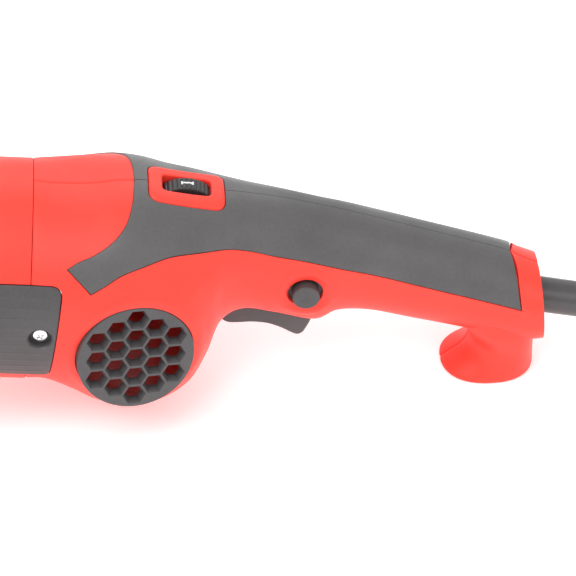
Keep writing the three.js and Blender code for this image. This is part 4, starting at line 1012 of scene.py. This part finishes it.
wheel = rounded([(-DIAL_WIDTH / 2, 3.3), (-DIAL_WIDTH / 2, DIAL_R), (DIAL_WIDTH / 2, DIAL_R),
                 (DIAL_WIDTH / 2, 3.3)], [0, 0.9, 0.9, 0], 8)
wheel = np.concatenate([wheel, [(DIAL_WIDTH / 2, 3.3), (-DIAL_WIDTH / 2, 3.3)]])[:-1]
dial_grid = lathe(wheel, "y", (DIAL_X, 0, DIAL_Z), 504, knurl)
speed_dial = form("thumb_wheel", dial_grid, 50, loop=True)
stand_in(speed_dial, "speed_dial", "speed_dial")


def strip_on_wheel(angle0, half_angle, half_width):
    """A thin mark on the wheel's rim: a small curved plate between two radii."""
    a = angle0 + np.linspace(-half_angle, half_angle, 9)
    ring = np.array([(-half_width, DIAL_R - 0.7), (half_width, DIAL_R - 0.7),
                     (half_width, DIAL_R + 0.06), (-half_width, DIAL_R + 0.06)])
    x = DIAL_X + ring[None, :, 1] * np.sin(a)[:, None]
    z = DIAL_Z + ring[None, :, 1] * np.cos(a)[:, None]
    return np.stack([x, np.broadcast_to(ring[None, :, 0], x.shape), z], -1)


marks = [strip_on_wheel(0.02, 0.155, 0.42), strip_on_wheel(-0.14, 0.022, 0.95),
         strip_on_wheel(0.18, 0.022, 0.95)]
dial_marks = several("wheel_marks", marks)
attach(dial_marks, "speed_dial")
print("dial and marks made")

# %% Trigger
TRIGGER_PIVOT = (251.5, -7)
TRIGGER = [(249, -10), (249, -19), (252, -20.8), (256, -20.7), (263, -19.8), (270, -20.3),
           (276, -22.5), (281, -25.3), (284, -26.6), (286.6, -25.2), (289.4, -17.8), (290, -9),
           (285, -5.8), (256, -4.8), (251, -5.5)]
trigger = form("trigger_lever", prism(outline_points(TRIGGER, 2.2, 240), -TRIGGER_WIDTH / 2,
                                      TRIGGER_WIDTH / 2, 1.6, 8), 50)
carve(trigger, [rod_y("pin hole", 2.05, -20, 20, *TRIGGER_PIVOT)], smooth=40)
stand_in(trigger, "trigger", "trigger")

# %% Lock button
face = BUTTON[1] - 2.4
cap = rounded([(face + 0.15, 0), (face, 5.0), (face + 0.1, 6.0), (face + 6.2, 6.0), (face + 6.2, 8.6),
               (face + 7.6, 8.6), (face + 7.6, 0)], [0, 0.6, 0.9, 0.2, 0.2, 0.2, 0], 8)
lock_button = form("lock_button_cap", lathe(cap, "y", (BUTTON[0], 0, BUTTON[2]), 96))
stand_in(lock_button, "lock_button", "lock_button")

# %% Cord guard
GUARD_R, GUARD_LENGTH = 8.1, 52.0
sleeve = rounded([(-22, 0), (-22, 4.6), (-14.8, 4.6), (-14.8, 10.5), (-11.6, 10.5), (-11.6, GUARD_R),
                  (8, GUARD_R), (28.6, GUARD_R * 0.98), (41.6, GUARD_R * 0.85), (GUARD_LENGTH - 0.4, 5.5),
                  (GUARD_LENGTH, 3.9), (GUARD_LENGTH, 0)],
                 [0, .5, .2, .5, .5, .3, 8, 8, 8, .8, .3, 0], 9)
cord_guard = form("cord_guard_sleeve", on_guard(lathe(sleeve, "x", sides=96)))
stand_in(cord_guard, "housing", "cord_guard")
print("controls and guard made")

# %% [markdown]
# The front half of the machine: the motor housing is a lathe ring with shallow cooling ribs ahead,
# and the gear head is three turned solids joined into one casting. A fine remesh and a few
# smoothing passes give that casting the soft fillets that sand casting leaves.

# %% Motor housing
BODY_FRONT = 46.0
INNER_R = BODY_R - 3.2
tube_profile = [(BODY_FRONT + 0.3, INNER_R), (BODY_FRONT + 0.3, BODY_R - 0.2), (52, BODY_R),
                (56, BODY_R), (56.6, BODY_R - 0.9), (58.4, BODY_R - 0.9), (59, BODY_R),
                (SEAM_X - 0.2, BODY_R), (SEAM_X - 0.2, INNER_R)]
tube_profile = rounded(tube_profile, [0, 0.8, 1, .3, .3, .3, .3, 0.5, 0], 6)
motor_housing = form("motor_housing_skin", lathe(tube_profile, "x", sides=256), loop=True)
for right in (False, True):
    carve(motor_housing, [pocket_tool("cover pocket", right)])
    carve(motor_housing, [cup_hole(right)])
soften(motor_housing, 35)
stand_in(motor_housing, "housing", "motor_housing")

# %% Gear head casting
HEAD_R, HEAD_TOP, HEAD_BOTTOM = 40.0, 21.0, -24.0
LOOP_HALF = 62.0
head = rounded([(HEAD_BOTTOM, 0), (HEAD_BOTTOM, HEAD_R), (HEAD_TOP - 8, HEAD_R), (HEAD_TOP, HEAD_R - 9),
                (HEAD_TOP, 0)], [0, 1, 7, 8, 0], 9)
barrel = rounded([(4, 0), (4, 34), (37, 35), (37, BODY_R - 1), (BODY_FRONT, BODY_R - 1),
                  (BODY_FRONT, 0)], [0, 0, 0, 1.5, .6, 0], 6)
ears = rounded([(-LOOP_HALF + 18, 0), (-LOOP_HALF + 18, 11), (LOOP_HALF - 18, 11),
                (LOOP_HALF - 18, 0)], [0, 1, 1, 0], 5)
casting = form("gear_head_casting", lathe(head, "z", sides=160))
barrel_piece = form("barrel", lathe(barrel, "x", sides=160))
below = lathe([(HEAD_BOTTOM - 40, HEAD_R + 14), (HEAD_BOTTOM + 0.01, HEAD_R + 14)], "z", sides=96)
carve(barrel_piece, [form("below", below - (14, 0, 0))])
carve(casting, [barrel_piece], "UNION")
carve(casting, [form("ears", lathe(ears, "y", (0, 0, 2), 96))], "UNION")
chamber = lathe([(HEAD_BOTTOM - 3, 35.4), (10, 35.4)], "z", sides=96)
carve(casting, [form("chamber", chamber)])
carve(casting, [form("passage", lathe([(10, 16), (BODY_FRONT + 3, 16)], "x", sides=64))])
remesh = casting.modifiers.new("cast", "REMESH")
remesh.mode, remesh.voxel_size = "VOXEL", 0.9 * MM
relax = casting.modifiers.new("relax", "SMOOTH")
relax.factor, relax.iterations = 0.5, 6
bpy.context.view_layer.update()
cast_mesh = bpy.data.meshes.new_from_object(
    casting.evaluated_get(bpy.context.evaluated_depsgraph_get()))
casting.modifiers.clear()
casting.data = cast_mesh
holes = [rod_y("bolt hole", 4, y0, y1, 0, 2) for y0, y1 in ((37, 62), (-62, -37))]
LOCK_AT = 15.0
holes.append(form("lock well", lathe([(HEAD_TOP - 4.8, 7.4), (HEAD_TOP + 5, 7.4)], "z",
                                     (-LOCK_AT, 0, 0), 64)))
for hole in holes:
    carve(casting, [hole])
soften(casting, 45)
stand_in(casting, "housing", "gear_housing")
print("casting:", len(casting.data.polygons), "faces")

# %% Turned pieces of the head


def turned(name, node, body, slot, profile, radii, axis="z", at=(0, 0, 0), sides=128, mirror=False,
           wave=None, loop=False):
    """A lathe piece with rounded corners that rides on a body and stands for one CAD node."""
    points = rounded(profile, radii, 6)
    piece = form(name, lathe(points, axis, at, sides, wave), mirror=mirror, loop=loop)
    stand_in(piece, body, node)
    return piece


bearing_cap = turned("bearing_cap", "bearing_cover", "housing", "cast_aluminium",
                     [(-34, 10), (-34, 22), (-30, 24), (-30, 39), (-24.3, 39), (-24.3, 35), (-31, 35),
                      (-31, 10)], [0, 1.5, 2, 1, .4, 0, 0, 0], loop=True)
spindle_bar = turned("spindle_bar", "spindle", "spindle_and_pad", "steel",
                     [(-49, 0), (-49, 6.8), (-37.5, 6.8), (-37.5, 9.4), (-34.8, 9.4), (-34.8, 7.5),
                      (-7, 7.5), (-7, 5), (15.5, 5), (15.5, 0)], 0.3, sides=96)
lock_cap = turned("spindle_lock_cap", "spindle_lock", "spindle_lock", "black_plastic",
                  [(-8.4, 0), (-8.4, 2.1), (HEAD_TOP - 0.2, 2.1), (HEAD_TOP - 0.2, 7),
                   (HEAD_TOP + 6, 7), (HEAD_TOP + 6.2, 3), (HEAD_TOP + 5.8, 0)],
                  [0, .3, 0, .3, 1.6, 1, 0], at=(-LOCK_AT, 0, 0), sides=96)
for k, angle in enumerate((45, 135, 225, 315)):
    r = BODY_R - 8.5
    place = (0, r * math.cos(math.radians(angle)), r * math.sin(math.radians(angle)))
    bolt = turned(f"head_screw_{k + 1}", f"gear_head_screw_{k + 1}", "housing", "steel",
                  [(BODY_FRONT - 13.2, 0), (BODY_FRONT - 13.2, 3.8), (BODY_FRONT - 9.3, 3.8),
                   (BODY_FRONT - 9.3, 1.9), (BODY_FRONT + 14, 1.9), (BODY_FRONT + 14, 0)],
                  [0, .5, .1, 0, .2, 0], "x", place, 48)
    socket = lathe([(BODY_FRONT - 15, 1.9), (BODY_FRONT - 11, 1.9)], "x", place, 6)
    carve(bolt, [form("socket", socket)], smooth=40)

# %% [markdown]
# The backing plate is a stiff rubber disc, and the pad is a disc of open foam with a rounded lower
# edge, held on it by hook and loop. Foam has no skin, so a pad gets its look from a fine uneven
# surface: shallow pits, worked out here as a sum of seeded waves, and a bump map with
# the pores.

# %% Plate and pad
PLATE_R, PAD_R, PAD_TOP, PAD_THICK, PAD_ROUND = 80.0, 88.0, -54.3, 19.5, 6.0
HUB_TOP, HUB_END = -38.0, -50.0
backing = turned("backing_disc", "backing_plate", "spindle_and_pad", "black_plastic",
                 [(PAD_TOP + 0.3, 0), (PAD_TOP + 0.3, PLATE_R), (PAD_TOP + 2.2, PLATE_R),
                  (PAD_TOP + 3.2, 38), (PAD_TOP + 8, 30), (HUB_TOP - 5, 20), (HUB_TOP, 17),
                  (HUB_TOP, 7.2), (HUB_END, 7.2), (HUB_END, 0)],
                 [0, .8, .8, 14, 6, 4, 1, .3, 0, 0], sides=256)


def foam_disc():
    """The pad's section: a flat face, a round lower edge, a slightly bulged side and a chamfer at
    the top, with uneven pits from a seeded field."""
    q = np.linspace(0, np.pi / 2, 14)
    low = PAD_TOP - PAD_THICK
    face = np.linspace(0, PAD_R - PAD_ROUND, 60)[:-1]
    side_t = np.linspace(0, 1, 16)[1:]
    side_z = low + PAD_ROUND + (PAD_TOP - 2.5 - low - PAD_ROUND) * side_t
    side_r = PAD_R - 1.0 * side_t ** 2
    profile = np.concatenate([
        np.column_stack([np.full(len(face), low), face]),
        np.column_stack([low + PAD_ROUND * (1 - np.cos(q)), PAD_R - PAD_ROUND * (1 - np.sin(q))]),
        np.column_stack([side_z, side_r]),
        [(PAD_TOP - 0.8, PAD_R - 2.4), (PAD_TOP, PAD_R - 4.4)],
        np.column_stack([np.full(40, PAD_TOP), np.linspace(PAD_R - 5, 0, 40)])])
    grid = lathe(profile, "z", sides=420)
    rng = np.random.default_rng(7)
    ring = np.arange(420) / 420 * 2 * np.pi
    pits = np.zeros(grid.shape[:2])
    for _ in range(26):
        k, m = rng.integers(20, 130), rng.uniform(0.3, 1.6)
        pits += np.cos(k * ring[None] + m * np.arange(len(profile))[:, None] + rng.uniform(0, 6.28))
    pits = -0.12 * np.abs(pits) / 4
    middle = np.array([0, 0, PAD_TOP - PAD_THICK / 2])
    edge = np.clip((profile[:, 1] - 60) / 20, 0, 1)[:, None] * (profile[:, 0] < PAD_TOP - 0.5)[:, None]
    way = grid - middle
    way /= np.linalg.norm(way, axis=-1)[..., None]
    return grid + way * (pits * edge)[..., None]


foam_pad = form("foam_pad", foam_disc(), 60)
stand_in(foam_pad, "spindle_and_pad", "polishing_pad")
print("pad:", len(foam_pad.data.polygons), "faces")

# %% [markdown]
# The loop handle is one moulded bar, bent up from both sides of the gear head, with a rubber sleeve
# where the hand goes and a star knob on each side bolt.

# %% Loop handle
LEAN = math.radians(24)
REACH, BAR_R, LOOP_Z, LUG_R, LUG_THICK = 74.0, 8.0, 2.0, 12.0, 9.0


def loop_point(y, reach):
    """A point at a reach along the leaning line up from the side bolts."""
    return (-math.sin(LEAN) * reach, y, LOOP_Z + math.cos(LEAN) * reach)


w = LOOP_HALF
left_leg = [(w - 13, 0), (w - 12, 12), (w - 2, 30), (w, REACH - 22), (w - 5, REACH - 6),
            (w - 16, REACH), (w - 20, REACH)]
spine = [loop_point(-y, h) for y, h in left_leg] + [loop_point(y, h) for y, h in left_leg[::-1]]
loop_bar = form("loop_bar", bar(smooth_path(spine, 200), BAR_R, 48, (0.9135, 0, 0.4067)))
inner = w - 17.6
outer = inner + LUG_THICK
for s in (-1, 1):
    lug = rounded([(inner, 0), (inner, LUG_R), (outer, LUG_R), (outer, 0)], [0, 1, 1, 0], 5)
    carve(loop_bar, [form("lug", lathe(lug, "y", (0, 0, LOOP_Z), 96), mirror=s < 0)], "UNION")
for s in (-1, 1):
    for low, high, r in ((outer, inner + 30, LUG_R + 1), (inner - 20, inner, LUG_R + 2),
                         (inner - 9, inner + 25, 4.3)):
        carve(loop_bar, [rod_y("face", r, low, high, 0, LOOP_Z, s < 0)])
soften(loop_bar, 40)
stand_in(loop_bar, "housing", "front_handle")
half_grip = w - 21
t = np.linspace(-1, 1, 160)
swell = 15.1 + 0.7 * np.cos(t * np.pi * 2) + 0.8 * np.clip((np.abs(t) - 0.9) / 0.06, 0, 1)
rings_on = 0.22 * np.cos(t * half_grip * 2 * np.pi / 4.2) * (np.abs(t) < 0.86)
sleeve_profile = np.column_stack([t * half_grip, np.minimum(swell + rings_on, 16.5)])
sleeve_profile = np.concatenate([[(-half_grip, 8.5)], sleeve_profile, [(half_grip, 8.5)]])
at = loop_point(0, REACH)
loop_sleeve = form("loop_sleeve", lathe(sleeve_profile, "y", at, 96), 50, loop=True)
stand_in(loop_sleeve, "housing", "front_handle_grip")


def lobes(angle, along):
    """Seven finger lobes on a knob."""
    return np.where(along < -face_y - 0.5, -0.9 * (0.5 - 0.5 * np.cos(7 * angle)), 0)


face_y = w - 8.3
knobs = [turned("loop_knob_" + side, "front_handle_bolt_" + side, "housing", "black_plastic",
                [(-face_y - 11, 0), (-face_y - 11, 10.4), (-face_y, 10.4), (-face_y, 3.7),
                 (-face_y + 16, 3.7), (-face_y + 16, 0)], [0, 2.2, .6, 0, .4, 0], "y", (0, 0, 2), 112,
                right, lobes) for right, side in ((False, "left"), (True, "right"))]
print("loop handle made")

# %% [markdown]
# Finishes are built from nodes. Wire wraps one output socket, so that shader sums can be written as
# plain arithmetic, and Paint holds one material and makes every other node: its settings come
# first, then the values or links of its sockets.

# %% Shader helpers


class Wire:
    """An output socket with +, -, * and / that add Math nodes."""

    def __init__(self, paint, socket):
        self.paint, self.socket = paint, socket

    def _math(self, operation, a, b):
        return self.paint.node("ShaderNodeMath", {"operation": operation}, {0: a, 1: b})

    def __add__(self, other):
        return self._math("ADD", self, other)

    def __sub__(self, other):
        return self._math("SUBTRACT", self, other)

    def __rsub__(self, other):
        return self._math("SUBTRACT", other, self)

    def __mul__(self, other):
        return self._math("MULTIPLY", self, other)

    __radd__, __rmul__ = __add__, __mul__


class Paint:
    """One material with a Principled shader; constants are set on the shader's own sockets."""

    def __init__(self, name, **constants):
        self.material = bpy.data.materials.new(name)
        self.material.use_nodes = True
        self.tree = self.material.node_tree
        self.shader = self.tree.nodes["Principled BSDF"]
        for socket, value in constants.items():
            self.shader.inputs[socket.replace("_", " ")].default_value = value
        self.place = self.node("ShaderNodeTexCoord", out="Object")

    def node(self, kind, settings=None, inputs=None, out=0):
        """Any node: its settings are set first, then its sockets; gives the wanted output."""
        made = self.tree.nodes.new(kind)
        for key, value in (settings or {}).items():
            if key == "stops":
                ramp = made.color_ramp.elements
                for k, (position, colour) in enumerate(value):
                    stop = ramp[k] if k < 2 else ramp.new(position)
                    stop.position, stop.color = position, colour
            else:
                setattr(made, key, value)
        for key, value in (inputs or {}).items():
            self.plug(made.inputs[key], value)
        return Wire(self, made.outputs[out])

    def plug(self, socket, value):
        """Links a wire to a socket, or sets the socket's value."""
        if isinstance(value, Wire):
            self.tree.links.new(value.socket, socket)
        else:
            socket.default_value = value

    def feed(self, **links):
        """Links values that vary to the shader's sockets."""
        for socket, value in links.items():
            self.plug(self.shader.inputs[socket.replace("_", " ")], value)
        return self

    def noise(self, scale, detail=3.0, rough=0.55, stretch=None):
        place = self.place
        if stretch:
            place = self.node("ShaderNodeMapping", {}, {"Vector": place, "Scale": stretch})
        return self.node("ShaderNodeTexNoise", {}, {"Vector": place, "Scale": scale,
                                                    "Detail": detail, "Roughness": rough})

    def mix(self, share, a, b):
        return self.node("ShaderNodeMix", {"data_type": "RGBA"}, {0: share, 6: a, 7: b}, 2)

    def ramp(self, value, low, high, a=0.0, b=1.0):
        return self.node("ShaderNodeMapRange", {}, {0: value, 1: low, 2: high, 3: a, 4: b})

    def bump(self, height, strength, distance):
        return self.node("ShaderNodeBump", {}, {"Height": height, "Strength": strength,
                                                "Distance": distance})


def rgb(r, g, b):
    """A linear colour with full alpha."""
    return (r, g, b, 1.0)


# %% [markdown]
# Two moulded plastics cover most of the machine. The red one is satin with a fine spark-eroded
# grain and a barely uneven colour. The grip is a softer compound: matt, with cloudy rubbed patches
# that shine a little more. Grain is a fine noise in a Bump node; the patches are a broad noise on
# the roughness.

# %% Plastics


def moulded(name, light, dark, rough, grain_scale, grain, cloud=14.0, spread=0.08, **constants):
    """A moulded plastic: colour and roughness follow a broad noise, the bump a fine one."""
    paint = Paint(name, **constants)
    clouds = paint.noise(cloud, 4.0, 0.6)
    speck = paint.noise(grain_scale * 0.35, 2.0)
    fine = paint.noise(grain_scale, 2.0, 0.6)
    share = paint.ramp(clouds * 0.7 + speck * 0.3, 0.36, 0.64)
    return paint.feed(Base_Color=paint.mix(share, dark, light),
                      Roughness=paint.ramp(clouds, 0.35, 0.65, rough + spread, rough - spread),
                      Normal=paint.bump(fine, grain, 0.0004)).material


red_plastic = moulded("red_plastic", rgb(0.92, 0.05, 0.03), rgb(0.86, 0.043, 0.026), 0.44, 1500, 0.10,
                      Specular_IOR_Level=0.38)
soft_grip = moulded("soft_grip", rgb(0.088, 0.084, 0.085), rgb(0.066, 0.063, 0.064), 0.50, 2100, 0.16, 24.0,
                    0.10, Specular_IOR_Level=0.5, Sheen_Weight=0.12, Sheen_Roughness=0.5)
dark_plastic = moulded("dark_plastic", rgb(0.072, 0.068, 0.07), rgb(0.054, 0.051, 0.053), 0.42, 1700, 0.14)
black_plastic = moulded("black_plastic", rgb(0.03, 0.03, 0.031), rgb(0.02, 0.02, 0.021), 0.42, 1700, 0.14)
cable_rubber = moulded("cable", rgb(0.06, 0.059, 0.061), rgb(0.045, 0.044, 0.046), 0.36, 900, 0.08)
mark_white = moulded("mark_white", rgb(0.8, 0.8, 0.78), rgb(0.7, 0.7, 0.68), 0.5, 900, 0.05)
circuit_board = moulded("circuit_board", rgb(0.03, 0.16, 0.07), rgb(0.02, 0.1, 0.045), 0.4, 600, 0.2)
carbon = moulded("carbon", rgb(0.03, 0.03, 0.032), rgb(0.018, 0.018, 0.019), 0.75, 2500, 0.3)

# %% [markdown]
# Metals differ in how they were made: turned steel has fine rings round its axis, which a noise
# stretched flat across the axis gives; cast aluminium is sand-blasted, so it is dull with a coarse
# grain; copper and brass are uneven in tone.

# %% Metals


def metal(name, light, dark, rough, stretch=None, scale=60.0, grain=0.05, grain_scale=700.0):
    """A bare metal: tone and roughness follow a noise that may be stretched into streaks."""
    paint = Paint(name, Metallic=1.0)
    streaks = paint.noise(scale, 5.0, 0.6, stretch)
    grains = paint.noise(grain_scale, 3.0, 0.65)
    tone = paint.ramp(streaks, 0.3, 0.7)
    return paint.feed(Base_Color=paint.mix(tone, dark, light),
                      Roughness=paint.ramp(streaks, 0.3, 0.7, rough + 0.08, rough - 0.06),
                      Normal=paint.bump(grains, grain, 0.0003)).material


steel = metal("steel", rgb(0.62, 0.62, 0.63), rgb(0.46, 0.46, 0.47), 0.28, (4, 4, 60))
bright_steel = metal("bright_steel", rgb(0.86, 0.86, 0.87), rgb(0.74, 0.74, 0.75), 0.2)
cast_aluminium = metal("cast_aluminium", rgb(0.56, 0.565, 0.575), rgb(0.46, 0.465, 0.475), 0.5, None,
                       40.0, 0.5, 900.0)
copper = metal("copper", rgb(0.72, 0.34, 0.18), rgb(0.52, 0.22, 0.11), 0.36, (60, 4, 60))
brass = metal("brass", rgb(0.75, 0.55, 0.26), rgb(0.6, 0.42, 0.18), 0.34)

# %% [markdown]
# Foam is a light scatterer full of open cells. Voronoi cells make the pores: their distance field
# darkens the colour in the cell's middle, which is painted shade in the pores, and pushes the
# surface in through a Bump node. A broad noise adds tone that differs at random.

# %% Foam
foam_paint = Paint("foam", Roughness=0.95, Sheen_Weight=0.3, Subsurface_Weight=0.1,
                   Subsurface_Scale=0.003)
cells = foam_paint.node("ShaderNodeTexVoronoi", {}, {"Vector": foam_paint.place, "Scale": 620.0})
wide_cells = foam_paint.noise(180.0, 4.0)
# the colour is painted shade in each pore's middle, mixed with a broad noise of random tone
foam_paint.feed(
    Base_Color=foam_paint.mix(foam_paint.ramp(cells * 0.7 + wide_cells * 0.3, 0.15, 0.6),
                              rgb(0.55, 0.25, 0.02), rgb(0.9, 0.5, 0.06)),
    Normal=foam_paint.bump(cells + wide_cells * 0.5, 0.7, 0.0008))
foam = foam_paint.material
print("finishes:", len(bpy.data.materials))

# %% Who wears what


def dress(material, *pieces):
    """Gives the pieces one material and no other."""
    for piece in pieces:
        piece.data.materials.clear()
        piece.data.materials.append(material)


dress(red_plastic, *shells, motor_housing)
dress(soft_grip, *grips, loop_sleeve)
dress(dark_plastic, *covers, *grilles, trigger, lock_button)
dress(black_plastic, speed_dial, loop_bar, *knobs, lock_cap, backing)
dress(cable_rubber, mains_lead, plug_body, cord_guard)
dress(bright_steel, *screws, plug_pins)
dress(steel, spindle_bar)
dress(cast_aluminium, casting, bearing_cap)
dress(mark_white, dial_marks)
dress(foam, foam_pad)
for k in range(1, 5):
    dress(steel, bpy.data.objects[f"head_screw_{k}"])

# %% [markdown]
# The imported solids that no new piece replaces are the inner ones: motor, gears, bearings, switch.
# They keep their shapes and take a finish by the slot that the record gives them.

# %% Inner pieces
FINISH_OF = {"steel": steel, "copper": copper, "brass": brass, "carbon": carbon,
             "circuit_board": circuit_board, "black_plastic": black_plastic,
             "dark_plastic": dark_plastic, "cable": cable_rubber, "red_plastic": red_plastic,
             "soft_grip": soft_grip, "cast_aluminium": cast_aluminium, "foam": foam}
dressed = 0
for part in frame["record"]["subparts"]:
    solid = frame["nodes"][part["node"]]
    if not solid.hide_render:
        dress(FINISH_OF[part["material_slot"]], solid)
        dressed += 1
print("packed solids that show:", dressed)

# %% [markdown]
# A pale floor and soft studio light: a bright even surrounding, a broad key from the upper left and
# a weaker fill from the right, so that the red turns slowly from light to dark over the handle.

# %% Floor and light
floor = mesh_object("floor", np.array([(-9, -9, 0), (9, -9, 0), (9, 9, 0), (-9, 9, 0)]) - (0, 0, 0.0002),
                    [(0, 1, 2, 3)], None)
floor_paint = Paint("floor_white", Roughness=0.9, Specular_IOR_Level=0.2,
                    Emission_Color=(1, 1, 1, 1), Emission_Strength=0.3)
haze = floor_paint.noise(3.0)
floor_paint.feed(Base_Color=floor_paint.mix(haze, rgb(0.955, 0.955, 0.955), rgb(0.965, 0.965, 0.965)))
dress(floor_paint.material, floor)
world = bpy.data.worlds.new("studio")
world.use_nodes = True
world.node_tree.nodes["Background"].inputs["Color"].default_value = (1, 1, 1, 1)
world.node_tree.nodes["Background"].inputs["Strength"].default_value = 0.8
bpy.context.scene.world = world
bpy.context.scene.view_settings.view_transform = "Standard"


def softbox(name, place, aim, size, power):
    """A rectangular area lamp at a place, turned so that it looks at the aim point."""
    lamp = bpy.data.lights.new(name, "AREA")
    lamp.shape, lamp.size, lamp.size_y, lamp.energy = "RECTANGLE", size[0], size[1], power
    box = bpy.data.objects.new(name, lamp)
    way = np.array(aim) - np.array(place)
    box.location = place
    box.rotation_euler = (math.acos(-way[2] / np.linalg.norm(way)), 0,
                          math.atan2(way[1], way[0]) - math.pi / 2)
    bpy.context.collection.objects.link(box)


softbox("key", (-0.5, -0.6, 1.5), (0.1, 0, 0.05), (1.2, 1.2), 18)
softbox("fill", (1.2, -1.0, 1.0), (0.1, 0, 0.05), (1.0, 1.0), 4)
softbox("back", (0.2, 1.4, 1.2), (0.1, 0, 0.05), (1.6, 0.8), 7)
